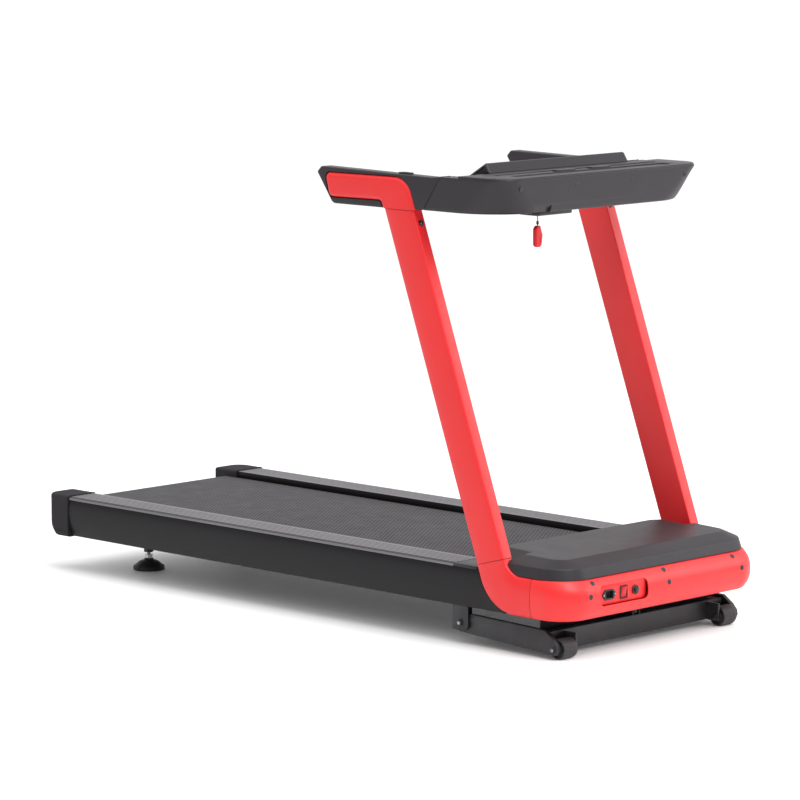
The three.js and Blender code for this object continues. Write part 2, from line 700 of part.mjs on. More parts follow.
function consoleDeck() {
  const rim = loft([consoleRing(CON_TOP + 0.4, 1, -1), consoleRing(1113, 1, -3)]);
  const rear = block(380, 561, -400, 400, 1090, 1130);
  const groove = plan(rounded([[600, -285, 8], [618, -285, 8], [618, 285, 8], [600, 285, 8]], 3), 1110, 1120);
  const tray = plan(rounded([[642, -270, 10], [682, -270, 10], [682, 270, 10], [642, 270, 10]], 3), 1110, 1120);
  const keys = [-KEY_ROW_Y, KEY_ROW_Y].map((y) => plan(keyOutline(y, 0.5), 1109.6, 1120));
  const top = cut(rim, rear, groove, tray, ...keys);
  const slope = side([[562, 1113], [CON_REAR_X + 1, 1041], [CON_REAR_X + 1, 1036], [562, CON_TOP + 0.4]],
    -308, 308);
  return join(top, slope);
}

function displayHousing() {
  const outline = rounded([[561.5, 1113.8, 0], [HUMP_X, HUMP_Z, 6], [436, 1072, 5], [430, 1047.4, 0]], 4);
  return side(outline, -HUMP_HALF, HUMP_HALF);
}

function displayScreen() {
  const dir = [436 - HUMP_X, 1072 - HUMP_Z];
  const len = Math.hypot(...dir);
  const n = [dir[1] / len, -dir[0] / len];
  const at = (t, h) => [HUMP_X + dir[0] * t + n[0] * h, HUMP_Z + dir[1] * t + n[1] * h];
  return side([at(0.12, 0.4), at(0.12, 2), at(0.88, 2), at(0.88, 0.4)].reverse(), -200, 200);
}

function handleShellOutline() {
  return rounded([[88, 1097, 5], [102, 1111, 9], [470, 1105, 0], [505.4 - 0.8, 1109, 0],
    [445.4 - 0.8, 1028, 0], [418, 1023.4, 0], [141, 1023.4, 18]], 5);
}

function handleArmOutline(grow) {
  return rounded([[114 - grow, 1099 + grow, 15], [392 + grow, 1101 + grow, 58], [420 + grow, 1023, 0],
    [311 - grow, 1023, 0], [304 - grow, 1040 - grow, 12], [130 - grow, 1038 - grow, 17]], 6);
}

function handleShell() {
  const body = side(handleShellOutline(), HANDLE_IN, HANDLE_OUT, 3);
  return cut(body, side(handleArmOutline(0.5), HANDLE_IN + 5, HANDLE_OUT + 20),
    plan(buttonOutline(0.5), 1103.2, 1120));
}

function handleArm() {
  return side(handleArmOutline(0), HANDLE_IN + 5.5, TUBE_OUT + 1.4, 3);
}

function buttonOutline(grow) {
  const g = grow;
  return rounded([[352 - g, 326 - g, 5], [392 + g, 326 - g, 5], [392 + g, 342 + g, 5], [352 - g, 342 + g, 5]], 3);
}

function handleButton() {
  return plan(buttonOutline(0), 1105.4, 1110.4, 0.8);
}

function keyOutline(y, grow) {
  const [dx, dy] = [9 + grow, 34 + grow];
  return rounded([[KEY_ROW_X - dx, y - dy, 6], [KEY_ROW_X + dx, y - dy, 6], [KEY_ROW_X + dx, y + dy, 6],
    [KEY_ROW_X - dx, y + dy, 6]], 3);
}

function consoleKey(y) {
  return plan(keyOutline(y, 0), 1111.2, 1116.6, 1);
}

function keySocket() {
  return plan(rounded([[600, -192, 10], [664, -192, 10], [664, -64, 14], [600, -64, 14]], 4),
    SOCKET_Z, CON_BOTTOM - 0.4, 2);
}

function lanyard() {
  const path = new THREE.CatmullRomCurve3([
    new THREE.Vector3(KEY_X, KEY_Y, SOCKET_Z - 1),
    new THREE.Vector3(KEY_X + 0.4, KEY_Y - 0.3, 1007),
    new THREE.Vector3(KEY_X - 0.3, KEY_Y + 0.4, 998),
    new THREE.Vector3(KEY_X, KEY_Y, 983.9),
  ]);
  const ring = [];
  for (let k = 0; k < 8; k++) ring.push([Math.cos(k * Math.PI / 4), Math.sin(k * Math.PI / 4)]);
  return new THREE.ExtrudeGeometry(shapeOf(ring), { steps: 8, bevelEnabled: false, extrudePath: path });
}

function safetyClip() {
  const outline = rounded([[-11, 939, 8], [9, 939, 8], [13, 968, 5], [9, 978, 4], [5, 989.5, 3],
    [-5, 989.5, 3], [-11, 982, 4]], 4);
  const eye = rod(1.6, 8, 'z', 0, 0, 987.2, 16);
  return cut(side(outline, -6, 6, 2), eye).rotateZ(Math.PI / 2).translate(KEY_X, KEY_Y, 0);
}

// ---- assembly ----
function pair(group, name, geometry, material) {
  group.add(node(name + '_L', geometry, material));
  group.add(node(name + '_R', mirrored(geometry), material));
}

function build() {
  const whole = new THREE.Group();
  whole.name = 'treadmill';
  const root = new THREE.Group();
  root.name = 'centred';
  root.position.x = CENTRE_SHIFT;
  whole.add(root);
  const base = new THREE.Group();
  base.name = 'base_group';
  pair(base, 'side_rail', sideRail(), RAIL);
  pair(base, 'foot_strip', footStrip(), RAIL);
  pair(base, 'rail_cover', railCover(), CHARCOAL);
  pair(base, 'end_cap', endCap(), CHARCOAL);
  pair(base, 'end_gasket', endGasket(), BLACK);
  base.add(node('cross_member_front', crossMember(560), BLACK));
  base.add(node('cross_member_mid', crossMember(-80), BLACK));
  base.add(node('cross_member_rear', rearCrossMember(FOOT_X), BLACK));
  pair(base, 'deck_stringer', deckStringer(), BLACK);
  base.add(node('running_deck', runningDeck(), { color: 0x3a2f28, roughness: 0.7, metalness: 0 }));
  base.add(node('running_belt', runningBelt(), { color: 0x262527, roughness: 0.85, metalness: 0 }));
  pair(base, 'base_elbow', baseElbow(), RED);
  base.add(node('front_bumper', frontBumper(), RED));
  base.add(node('motor_hood', motorHood(), CHARCOAL));
  base.add(node('base_pan', basePan(), BLACK));
  base.add(node('drive_motor', driveMotor(), { color: 0x55585c, roughness: 0.5, metalness: 0.6 }));
  base.add(node('motor_controller', motorController(), { color: 0x8b8f94, roughness: 0.4, metalness: 0.8 }));
  base.add(node('drive_belt', driveBelt(), BLACK));
  base.add(node('incline_motor', inclineMotor(), { color: 0x44474b, roughness: 0.5, metalness: 0.5 }));
  base.add(node('power_panel', powerPanel(), RED));
  base.add(node('power_inlet', powerInlet(), BLACK));
  pair(base, 'pivot_bracket', pivotBracket(), BLACK);
  root.add(base);

  const turning = new THREE.Group();
  turning.name = 'turning_group';
  turning.add(node('front_roller', roller(ROLLER_FRONT_X, true), STEEL));
  turning.add(node('rear_roller', roller(ROLLER_REAR_X, false), STEEL));
  turning.add(node('motor_pulley', motorPulley(), STEEL));
  turning.add(node('rocker_switch', rockerSwitch(), { color: 0xc01818, roughness: 0.3, metalness: 0 }));
  turning.add(node('breaker_button', join(rod(5.8, 12, 'x', PANEL_X + 1, BREAKER_Y, PANEL_Z, 20)), BLACK));
  root.add(turning);

  const incline = new THREE.Group();
  incline.name = 'incline_group';
  incline.add(node('incline_frame', inclineFrame(), BLACK));
  pair(incline, 'wheel', wheel(), BLACK);
  incline.add(node('incline_tube', inclineTube(), STEEL));
  root.add(incline);

  const feet = new THREE.Group();
  feet.name = 'feet_group';
  pair(feet, 'foot_pad', footPad(), BLACK);
  pair(feet, 'foot_stem', footStem(), STEEL);
  root.add(feet);

  const upper = new THREE.Group();
  upper.name = 'upper_group';
  pair(upper, 'upright', upright(), RED);
  upper.add(node('console_shell', consoleShell(), CHARCOAL));
  upper.add(node('console_deck', consoleDeck(), CHARCOAL));
  upper.add(node('display_housing', displayHousing(), CHARCOAL));
  upper.add(node('display_screen', displayScreen(), { color: 0x0b0c10, roughness: 0.1, metalness: 0 }));
  pair(upper, 'handle_shell', handleShell(), CHARCOAL);
  pair(upper, 'handle_arm', handleArm(), RED);
  pair(upper, 'handle_button', handleButton(), BLACK);
  upper.add(node('console_key_1', consoleKey(-KEY_ROW_Y), BLACK));
  upper.add(node('console_key_2', consoleKey(KEY_ROW_Y), BLACK));
  upper.add(node('key_socket', keySocket(), BLACK));
  upper.add(node('safety_clip', safetyClip(), { color: 0xd11414, roughness: 0.35, metalness: 0 }));
  upper.add(node('lanyard', lanyard(), BLACK));
  root.add(upper);
  return whole;
}

export default build();
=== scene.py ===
import json
import math

import bmesh
import bpy
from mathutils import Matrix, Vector


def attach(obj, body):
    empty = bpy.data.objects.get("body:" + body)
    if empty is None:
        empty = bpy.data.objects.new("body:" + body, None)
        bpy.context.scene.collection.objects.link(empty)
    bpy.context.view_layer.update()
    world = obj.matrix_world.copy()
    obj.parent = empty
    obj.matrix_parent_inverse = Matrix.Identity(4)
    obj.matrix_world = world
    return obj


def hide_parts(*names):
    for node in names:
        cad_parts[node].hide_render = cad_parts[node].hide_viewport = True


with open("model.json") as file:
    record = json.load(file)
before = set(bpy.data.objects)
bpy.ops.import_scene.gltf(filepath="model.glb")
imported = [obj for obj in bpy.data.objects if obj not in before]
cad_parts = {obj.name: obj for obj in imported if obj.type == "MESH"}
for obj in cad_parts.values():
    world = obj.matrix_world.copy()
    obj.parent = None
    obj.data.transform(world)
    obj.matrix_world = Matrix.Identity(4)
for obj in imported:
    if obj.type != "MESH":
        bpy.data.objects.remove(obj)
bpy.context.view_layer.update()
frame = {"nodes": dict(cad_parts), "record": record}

# The outlines below are in millimetres on the drawing's own axes; SHIFT centres them on the row frame.
SHIFT = 9.5
FRONT_X = 911
REAR_X = -930
TUBE_OUT = 354.6
TUBE_IN = 320.8
TUBE_DEPTH = TUBE_OUT - TUBE_IN
TUBE_WALL = 2.5
# Two figures of a tube's section each: how far its outer face falls away at the edges, and their radii.
UPR_CROWN = (2, 5)
UPR_RADII = (4.5, 10)
BUMPER_CROWN = (8, 8)
BUMPER_RADII = (9, 9)
LEAN = 0.37
UPR_FRONT_0 = 790.2
UPR_REAR_0 = 690.4
HINGE_REAR = (618, 201)
HINGE_FRONT = (706, 225)
UPR_TOP_Z = 1022
UPR_BOLT_Z = 993
TUBE_LOW_Z = 95
TUBE_HIGH_Z = 190
ELBOW_END_X = 792
BUMPER_R = 80
WINDOW_Y = (-236, -70)
WINDOW_Z = (124, 172)
PANEL_X = 902
PANEL_Z = 148
HOOD_REAR_X = 634
HOOD_FRONT_X = 890
HOOD_HALF = 346
HOOD_HALF_REAR = 316
HOOD_WING_X = 686
HOOD_CORNER_R = 80
HOOD_CREASE_Z = 216
HOOD_TOP_Z = 240
HOOD_FALL = 0.038
RAIL_LOW_Z = 93.6
RAIL_TOP_Z = 188.2
RAIL_FRONT_X = 695
RAIL_REAR_X = -840
STRIP_FRONT_X = 538
STRIP_IN_Y = 257
GROOVE_Z = 195
RIB_TOP_Z = 197
RIB_COUNT = 6
RIB_GAP = 3.6
CAP_FRONT_X = -843.4
CAP_LOW_Z = 91.5
CAP_HIGH_Z = 199
CON_BOTTOM = 1026
CON_TOP = 1108
HANDLE_IN = 316.5
HANDLE_OUT = 352
WHEEL_X = 840
WHEEL_R = 24.5
WHEEL_OUT = 311
WHEEL_W = 47
PIVOT_X = 547
PIVOT_Z = 51
FOOT_X = -721
FOOT_Y = 175
KEY_X = 636
KEY_Y = -162
ROLLER_FRONT_X = 671
ROLLER_REAR_X = -869
ROLLER_Z = 158
BELT_R = 24.8
BELT_THICK = 2
BELT_HALF = 240
SIDES = (("L", 1), ("R", -1))


def metre(p):
    """A point of the drawing, in millimetres, as a point of the row frame in metres."""
    return Vector(((p[0] + SHIFT) / 1000, p[1] / 1000, p[2] / 1000))


# ---- camera ----
def camera():
    """The view of the photo, from the front right with a long lens."""
    data = bpy.data.cameras.new("view")
    data.sensor_width = 36
    data.lens = 187.77
    data.clip_end = 400
    cam = bpy.data.objects.new("view", data)
    cam.location = (7.25925, -7.36978, 1.93262)
    cam.rotation_euler = (math.radians(90 - 7.902), 0, math.radians(44.434))
    bpy.context.scene.collection.objects.link(cam)
    bpy.context.scene.camera = cam


camera()


# ---- materials ----
def srgb(r, g, b):
    """A screen colour, 0 to 255, as the linear colour that shaders take."""
    out = []
    for v in (r, g, b):
        v /= 255
        out.append(v / 12.92 if v <= 0.04045 else ((v + 0.055) / 1.055) ** 2.4)
    return (*out, 1)


class Finish:
    """One procedural material: mottled colour, uneven gloss and a fine surface texture."""

    def __init__(self, name, tone, rough, metal=0.0, spec=0.5, coat=0.0, sheen=0.0):
        self.mat = bpy.data.materials.new(name)
        self.mat.use_nodes = True
        self.tree = self.mat.node_tree
        self.shader = self.tree.nodes["Principled BSDF"]
        self.tone = tone
        self.rough = rough
        self.shader.inputs["Metallic"].default_value = metal
        self.shader.inputs["Specular IOR Level"].default_value = spec
        self.shader.inputs["Coat Weight"].default_value = coat
        self.shader.inputs["Coat Roughness"].default_value = 0.08
        self.shader.inputs["Sheen Weight"].default_value = sheen
        self.place = self.tree.nodes.new("ShaderNodeTexCoord").outputs["Object"]
        self.height = None

    def link(self, a, b):
        self.tree.links.new(a, b)

    def mapped(self, scale=(1, 1, 1), turn=(0, 0, 0)):
        """Object coordinates, stretched or turned."""
        m = self.tree.nodes.new("ShaderNodeMapping")
        m.inputs["Scale"].default_value = scale
        m.inputs["Rotation"].default_value = turn
        self.link(self.place, m.inputs["Vector"])
        return m.outputs["Vector"]

    def waves(self, scale, turn, distortion=0.0):
        w = self.tree.nodes.new("ShaderNodeTexWave")
        w.inputs["Scale"].default_value = scale
        w.inputs["Distortion"].default_value = distortion
        self.link(self.mapped(turn=turn), w.inputs["Vector"])
        return w.outputs["Fac"]

    def noise(self, scale, detail=3.0, stretch=(1, 1, 1)):
        n = self.tree.nodes.new("ShaderNodeTexNoise")
        n.inputs["Scale"].default_value = scale
        n.inputs["Detail"].default_value = detail
        self.link(self.mapped(stretch), n.inputs["Vector"])
        return n.outputs["Fac"]

    def calc(self, operation, a, b=None):
        """One sum on one or two values."""
        m = self.tree.nodes.new("ShaderNodeMath")
        m.operation = operation
        self.link(a, m.inputs[0])
        if b is not None:
            self.link(b, m.inputs[1])
        return m.outputs[0]

    def ranged(self, value, low, high, start=0.3, end=0.7):
        """A value from start to end, taken to low to high."""
        r = self.tree.nodes.new("ShaderNodeMapRange")
        r.inputs["From Min"].default_value = start
        r.inputs["From Max"].default_value = end
        r.inputs["To Min"].default_value = low
        r.inputs["To Max"].default_value = high
        self.link(value, r.inputs["Value"])
        return r.outputs["Result"]

    def blended(self, factor, a, b):
        """Colour a turning to b by the factor."""
        m = self.tree.nodes.new("ShaderNodeMix")
        m.data_type = "RGBA"
        self.link(factor, m.inputs["Factor"])
        for socket, value in ((m.inputs[6], a), (m.inputs[7], b)):
            if isinstance(value, tuple):
                socket.default_value = value
            else:
                self.link(value, socket)
        return m.outputs[2]

    def colour(self, spread=0.08, scale=5.0, fine=0.05, fine_scale=260.0, stretch=(1, 1, 1)):
        dark = tuple(c * (1 - spread) for c in self.tone[:3]) + (1,)
        light = tuple(min(1, c * (1 + spread)) for c in self.tone[:3]) + (1,)
        broad = self.blended(self.ranged(self.noise(scale, 5), 0, 1), dark, light)
        speck = tuple(c * (1 - 3 * fine) for c in self.tone[:3]) + (1,)
        factor = self.ranged(self.noise(fine_scale, 2, stretch), 0, 0.5, 0.45, 0.75)
        self.out = self.blended(factor, broad, speck)
        self.link(self.out, self.shader.inputs["Base Color"])
        return self

    def gloss(self, spread=0.06, scale=24.0, stretch=(1, 1, 1)):
        low, high = max(0.03, self.rough - spread), min(1, self.rough + spread)
        self.link(self.ranged(self.noise(scale, 4, stretch), low, high), self.shader.inputs["Roughness"])
        return self

    def bump(self, value, strength, distance=0.0004):
        b = self.tree.nodes.new("ShaderNodeBump")
        b.inputs["Strength"].default_value = strength
        b.inputs["Distance"].default_value = distance
        self.link(value, b.inputs["Height"])
        if self.height is not None:
            self.link(self.height, b.inputs["Normal"])
        self.height = b.outputs["Normal"]
        self.link(self.height, self.shader.inputs["Normal"])
        if self.shader.inputs["Coat Weight"].default_value > 0:
            self.link(self.height, self.shader.inputs["Coat Normal"])
        return self

    def scuffed(self, tone, amount=0.35, scale=70.0, stretch=(1, 1, 1)):
        factor = self.ranged(self.noise(scale, 6, stretch), 0, amount, 0.6, 0.78)
        self.out = self.blended(factor, self.out, tone)
        self.link(self.out, self.shader.inputs["Base Color"])
        return self


def painted(name, tone, rough=0.36, coat=0.12):
    """Paint over metal: orange peel, slight cloudiness."""
    f = Finish(name, tone, rough, 0.0, 0.5, coat).colour(0.04, 4, 0.02, 700).gloss(0.04)
    return f.bump(f.noise(520, 2), 0.07, 0.00015)


def moulded(name, tone, rough=0.5, grain=0.3, spec=0.45, ior=1.5):
    """Moulded plastic with a fine leathery grain."""
    f = Finish(name, tone, rough, 0.0, spec).colour(0.05, 6, 0.04, 500).gloss(0.02)
    f.shader.inputs["IOR"].default_value = ior
    return f.bump(f.noise(1100, 3), grain, 0.0003).bump(f.noise(230, 2), grain * 0.4, 0.0003)


def brushed(name, tone, rough, metal, grain=0.12, along=(0.02, 1, 1), spec=0.5):
    """Metal with fine lines along one direction."""
    f = Finish(name, tone, rough, metal, spec).colour(0.05, 5, 0.03, 900, along)
    f.gloss(0.03, 500, along)
    return f.bump(f.noise(1500, 3, along), grain, 0.0002)


def ribbed(name, tone):
    """Satin ribs, with painted shade: the grooves between them and the wall beside the belt are coloured
    near-black in place of shade.
    """
    f = brushed(name, tone, 0.4, 0.4, 0.01)
    split = f.tree.nodes.new("ShaderNodeSeparateXYZ")
    f.link(f.place, split.inputs[0])
    height = split.outputs["Z"]
    floor, top, wall = GROOVE_Z / 1000, RIB_TOP_Z / 1000, STRIP_IN_Y / 1000
    # Painted shade: masks for the groove floors and the inner wall beside the belt, mixed to near-black
    # below.
    below_top = f.ranged(height, 1, 0, floor + 0.0002, top - 0.0002)
    above_lip = f.ranged(height, 0, 1, floor - 0.001, floor - 0.0002)
    groove = f.calc("MULTIPLY", below_top, above_lip)
    inner = f.ranged(f.calc("ABSOLUTE", split.outputs["Y"]), 1, 0, wall + 0.0008, wall + 0.0016)
    f.out = f.blended(f.calc("MAXIMUM", groove, inner), f.out, srgb(14, 13, 15))
    f.link(f.out, f.shader.inputs["Base Color"])
    return f


def rubbery(name, tone, rough=0.8):
    """Matt rubber, dusty in places."""
    f = Finish(name, tone, rough, 0.0, 0.35, sheen=0.05).colour(0.14, 9, 0.07, 420).gloss(0.08)
    f.bump(f.noise(900, 4), 0.4, 0.0004)
    return f.scuffed(srgb(96, 94, 92), 0.16)


def coated_steel(name, tone):
    """Black powder coat: coarse satin texture."""
    f = Finish(name, tone, 0.42, 0.25, 0.5).colour(0.1, 8, 0.06, 600).gloss(0.08)
    return f.bump(f.noise(800, 2), 0.28, 0.0003)


def belt_weave(name, tone):
    """Crossed diagonal tread a few millimetres apart."""
    f = Finish(name, tone, 0.7, 0.0, 0.35).colour(0.1, 3.5, 0.06, 300).gloss(0.06)
    one, other = [f.waves(34, (0, 0, turn), 0.15) for turn in (0.6, -0.6)]
    raised = f.ranged(f.calc("MULTIPLY", one, other), 0, 1, 0.15, 0.55)
    f.out = f.blended(raised, f.out, srgb(86, 83, 87))
    f.link(f.out, f.shader.inputs["Base Color"])
    return f.bump(raised, 0.7, 0.0007).bump(f.noise(800, 2), 0.2, 0.0002)


def threaded(name, tone):
    """Plated steel with worn flanks."""
    f = Finish(name, tone, 0.2, 1.0).colour(0.06, 30, 0.05, 900).gloss(0.08, 90)
    return f.bump(f.noise(900, 2), 0.05, 0.0002)


def glass_panel(name, tone):
    """Smoked glass over a dark display."""
    f = Finish(name, tone, 0.08, 0.0, 0.6, 0.8).colour(0.2, 8, 0.05, 300).gloss(0.03, 60)
    return f.bump(f.noise(30, 2), 0.02, 0.0004)


def woven(name, tone):
    """Braided cord: two sets of strands crossing every millimetre or so."""
    f = Finish(name, tone, 0.75, 0.0, 0.3, sheen=0.3).colour(0.2, 60, 0.1, 900).gloss(0.08)
    for turn in (0.8, -0.8):
        f.bump(f.waves(300, (turn, turn, 0)), 0.5, 0.0003)
    return f


def board(name, tone):
    """Waxed wood fibre board, streaked along its length."""
    f = Finish(name, tone, 0.55).colour(0.15, 6, 0.12, 120, (0.1, 1, 1)).gloss(0.06)
    return f.bump(f.noise(400, 4, (0.1, 1, 1)), 0.2, 0.0003)


FINISHES = {
    "red_paint": painted("red_paint", srgb(222, 27, 31), 0.42, 0.04),
    "red_plastic": painted("red_plastic", srgb(228, 33, 35), 0.44, 0.04),
    "charcoal_plastic": moulded("charcoal_plastic", srgb(42, 39, 43), 0.46, 0.12, 0.3),
    "cap_plastic": moulded("cap_plastic", srgb(54, 51, 55), 0.8, 0.2, 0.4, 1.15),
    "ribbed_strip": ribbed("ribbed_strip", srgb(118, 115, 119)),
    "rail_metal": brushed("rail_metal", srgb(24, 22, 25), 0.4, 0.05, 0.03, spec=0.2),
    "black_rubber": rubbery("black_rubber", srgb(50, 48, 51), 0.55),
    "gasket": rubbery("gasket", srgb(12, 11, 13)),
    "black_steel": coated_steel("black_steel", srgb(44, 43, 46)),
    "deck_board": board("deck_board", srgb(60, 48, 40)),
    "belt_rubber": belt_weave("belt_rubber", srgb(38, 36, 39)),
    "motor_paint": coated_steel("motor_paint", srgb(90, 91, 94)),
    "heat_sink": brushed("heat_sink", srgb(170, 172, 175), 0.35, 1.0, 0.12, (1, 0.02, 1)),
    "black_plastic": moulded("black_plastic", srgb(34, 33, 36), 0.42, 0.2),
    "roller_steel": brushed("roller_steel", srgb(176, 178, 181), 0.3, 1.0, 0.1, (1, 0.02, 1)),
    "chrome_steel": threaded("chrome_steel", srgb(205, 207, 210)),
    "switch_red": moulded("switch_red", srgb(196, 14, 24), 0.36, 0.05, 0.4),
    "screen": glass_panel("screen", srgb(14, 15, 18)),
    "cord_weave": woven("cord_weave", srgb(26, 26, 28)),
}


# ---- shape helpers ----
def rounded(rows, steps=6):
    """The corners of a polygon given as (x, y, radius) rows, rounded."""
    out = []
    n = len(rows)
    for i, (x, y, r) in enumerate(rows):
        if not r:
            out.append((x, y))
            continue
        p = Vector((x, y))
        u = (Vector(rows[i - 1][:2]) - p).normalized()
        v = (Vector(rows[(i + 1) % n][:2]) - p).normalized()
        half = math.acos(max(-1, min(1, u.dot(v)))) / 2
        c = p + (u + v).normalized() * (r / math.sin(half))
        s = p + u * (r / math.tan(half)) - c
        e = p + v * (r / math.tan(half)) - c
        a0 = math.atan2(s.y, s.x)
        da = math.atan2(e.y, e.x) - a0
        if da > math.pi:
            da -= 2 * math.pi
        if da < -math.pi:
            da += 2 * math.pi
        for k in range(steps + 1):
            t = a0 + da * k / steps
            out.append((c.x + r * math.cos(t), c.y + r * math.sin(t)))
    return out


def inset(outline, d):
    """The outline moved inwards by d."""
    n = len(outline)
    area = sum(outline[i][0] * outline[(i + 1) % n][1] - outline[(i + 1) % n][0] * outline[i][1]
               for i in range(n))
    turn = 1 if area > 0 else -1
    out = []
    for i in range(n):
        p = Vector(outline[i])
        a = (p - Vector(outline[i - 1])).normalized()
        b = (Vector(outline[(i + 1) % n]) - p).normalized()
        na = Vector((-a.y, a.x)) * turn
        nb = Vector((-b.y, b.x)) * turn
        k = max(0.3, 1 + na.dot(nb))
        out.append(tuple(p + (na + nb) * (d / k)))
    return out


def in_plan(u, v, a):
    """Outline in plan, carried upwards."""
    return (u, v, a)


def in_side(u, v, a):
    """Outline in side view, carried across."""
    return (u, a, v)


def in_end(u, v, a):
    """Outline in end view, carried along the length."""
    return (a, u, v)


def loft(rings, walls=None, loop=False):
    """Skin through rings of points; wall rings make it an open tube, and a loop closes on its first ring."""
    n = len(rings[0])
    verts = [p for ring in rings for p in ring]
    faces = []

    def skin(start, count):
        for i in range(count - 1):
            for k in range(n):
                a = start + i * n
                k2 = (k + 1) % n
                faces.append((a + k, a + k2, a + n + k2, a + n + k))

    skin(0, len(rings))
    last = (len(rings) - 1) * n
    if walls:
        base = len(verts)
        verts += [p for ring in walls for p in ring]
        skin(base, len(walls))
        for k in range(n):
            k2 = (k + 1) % n
            faces.append((k, k2, base + k2, base + k))
            faces.append((last + k, last + k2, base + last + k2, base + last + k))
    elif loop:
        faces += [(last + k, last + (k + 1) % n, (k + 1) % n, k) for k in range(n)]
    else:
        faces.append(tuple(range(n)))
        faces.append(tuple(last + k for k in range(n)))
    return verts, faces


def slab(outline, a0, a1, place, r0=0.0, r1=None, steps=4):
    """An outline given thickness from a0 to a1, with rounded edges of radius r0 and r1."""
    r1 = r0 if r1 is None else r1
    rings = []
    for r, end, sign in ((r0, a0, 1), (r1, a1, -1)):
        stack = []
        for k in range(steps + 1 if r else 1):
            t = math.pi / 2 * k / steps if r else math.pi / 2
            line = inset(outline, r * (1 - math.sin(t))) if r else outline
            at = end + sign * r * (1 - math.cos(t)) if r else end
            stack.append([place(u, v, at) for u, v in line])
        rings += stack if sign > 0 else stack[::-1]
    return loft(rings)


def lathe(rows, segments=40, axis="z", at=(0, 0, 0), bored=False):
    """A turned piece from (radius, height) rows: solid, or with a bore that its last row leads back to."""
    rings = []
    for r, h in rows:
        ring = []
        for k in range(segments):
            t = 2 * math.pi * k / segments
            c, s = r * math.cos(t), r * math.sin(t)
            p = {"z": (c, s, h), "y": (c, h, s), "x": (h, c, s)}[axis]
            ring.append(tuple(p[i] + at[i] for i in range(3)))
        rings.append(ring)
    return loft(rings, loop=bored)


def joined(*forms):
    """Several forms as one."""
    verts, faces = [], []
    for v, f in forms:
        base = len(verts)
        verts += v
        faces += [tuple(i + base for i in face) for face in f]
    return verts, faces


def raw(name, form, side=1):
    """A form as an object on one side; -1 mirrors it to the right."""
    mesh = bpy.data.meshes.new(name)
    mesh.from_pydata([metre((p[0], p[1] * side, p[2])) for p in form[0]], [], form[1])
    bm = bmesh.new()
    bm.from_mesh(mesh)
    bmesh.ops.remove_doubles(bm, verts=bm.verts, dist=1e-6)
    bmesh.ops.recalc_face_normals(bm, faces=bm.faces)
    bm.to_mesh(mesh)
    bm.free()
    obj = bpy.data.objects.new(name, mesh)
    bpy.context.scene.collection.objects.link(obj)
    return obj


def settled(obj):
    """Applies the piece's modifiers."""
    bpy.context.view_layer.update()
    deps = bpy.context.evaluated_depsgraph_get()
    mesh = bpy.data.meshes.new_from_object(obj.evaluated_get(deps))
    obj.modifiers.clear()
    old = obj.data
    obj.data = mesh
    bpy.data.meshes.remove(old)
    return obj


def carve(obj, *forms, side=1):
    """Cuts the forms out of the piece."""
    cutters = [raw("cutter", f, side) for f in forms]
    for c in cutters:
        m = obj.modifiers.new("cut", "BOOLEAN")
        m.object = c
        m.operation = "DIFFERENCE"
        m.solver = "EXACT"
    settled(obj)
    for c in cutters:
        bpy.data.objects.remove(c)
    return obj


def smooth(obj, angle=32.0):
    """Smooth shading with edges sharper than the angle kept crisp."""
    obj.data.polygons.foreach_set("use_smooth", [True] * len(obj.data.polygons))
    obj.data.set_sharp_from_angle(angle=math.radians(angle))


def soften(obj, width, steps=3, angle=32.0):
    """Small rounded edges."""
    b = obj.modifiers.new("edges", "BEVEL")
    b.width = width / 1000
    b.segments = steps
    b.limit_method = "ANGLE"
    b.angle_limit = math.radians(angle)
    b.harden_normals = True
    b.use_clamp_overlap = True


def done(obj, body, slot, *nodes, edge=0.0, steps=3, angle=32.0):
    """Gives the piece its finish, its body and the nodes it stands for."""
    obj.data.materials.clear()
    obj.data.materials.append(FINISHES[slot].mat)
    smooth(obj, angle)
    if edge:
        soften(obj, edge, steps, angle)
    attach(obj, body)
    if nodes:
        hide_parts(*nodes)
    return obj


def piece(name, form, body, slot, *nodes, side=1, edge=0.0, steps=3, angle=32.0):
    """A form made into a finished piece in one go."""
    return done(raw(name, form, side), body, slot, *nodes, edge=edge, steps=steps, angle=angle)


# ---- lanyard ----
def lanyard():
    """Braided cord from the key socket into the clip's eye, with a knot above the clip."""
    knots = [Vector(p) for p in ((KEY_X, KEY_Y, 1014.5), (KEY_X + 0.4, KEY_Y - 0.3, 1007),
                                 (KEY_X - 0.3, KEY_Y + 0.4, 998), (KEY_X, KEY_Y, 983.9))]
    path = []
    for i in range(3):
        p0, p1, p2, p3 = (knots[max(i - 1, 0)], knots[i], knots[i + 1], knots[min(i + 2, 3)])
        for k in range(6):
            t = k / 6
            path.append(0.5 * (2 * p1 + (p2 - p0) * t + (2 * p0 - 5 * p1 + 4 * p2 - p3) * t ** 2
                               + (3 * p1 - p0 - 3 * p2 + p3) * t ** 3))
    path.append(knots[3])
    data = bpy.data.curves.new("lanyard_cord", "CURVE")
    data.dimensions = "3D"
    data.bevel_depth = 0.001
    data.bevel_resolution = 4
    data.use_fill_caps = True
    spline = data.splines.new("POLY")
    spline.points.add(len(path) - 1)
    for q, p in zip(spline.points, path):
        q.co = (*metre(p), 1)
    data.materials.append(FINISHES["cord_weave"].mat)
    cord = bpy.data.objects.new("lanyard_cord", data)
    bpy.context.scene.collection.objects.link(cord)
    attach(cord, "safety_key")
    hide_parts("lanyard")
    length = sum((metre(a) - metre(b)).length for a, b in zip(path, path[1:]))
    rows = [(0, -4.4), (1.6, -4.2), (2.9, -2.6), (3.3, -0.4), (2.7, 1.8), (3.0, 2.6), (2.6, 4.2), (1.4, 5),
            (0, 5.1)]
    knot = piece("lanyard_knot", lathe(rows, 20, "z", (KEY_X, KEY_Y, 996)), "safety_key", "cord_weave")
    return cord, length, knot


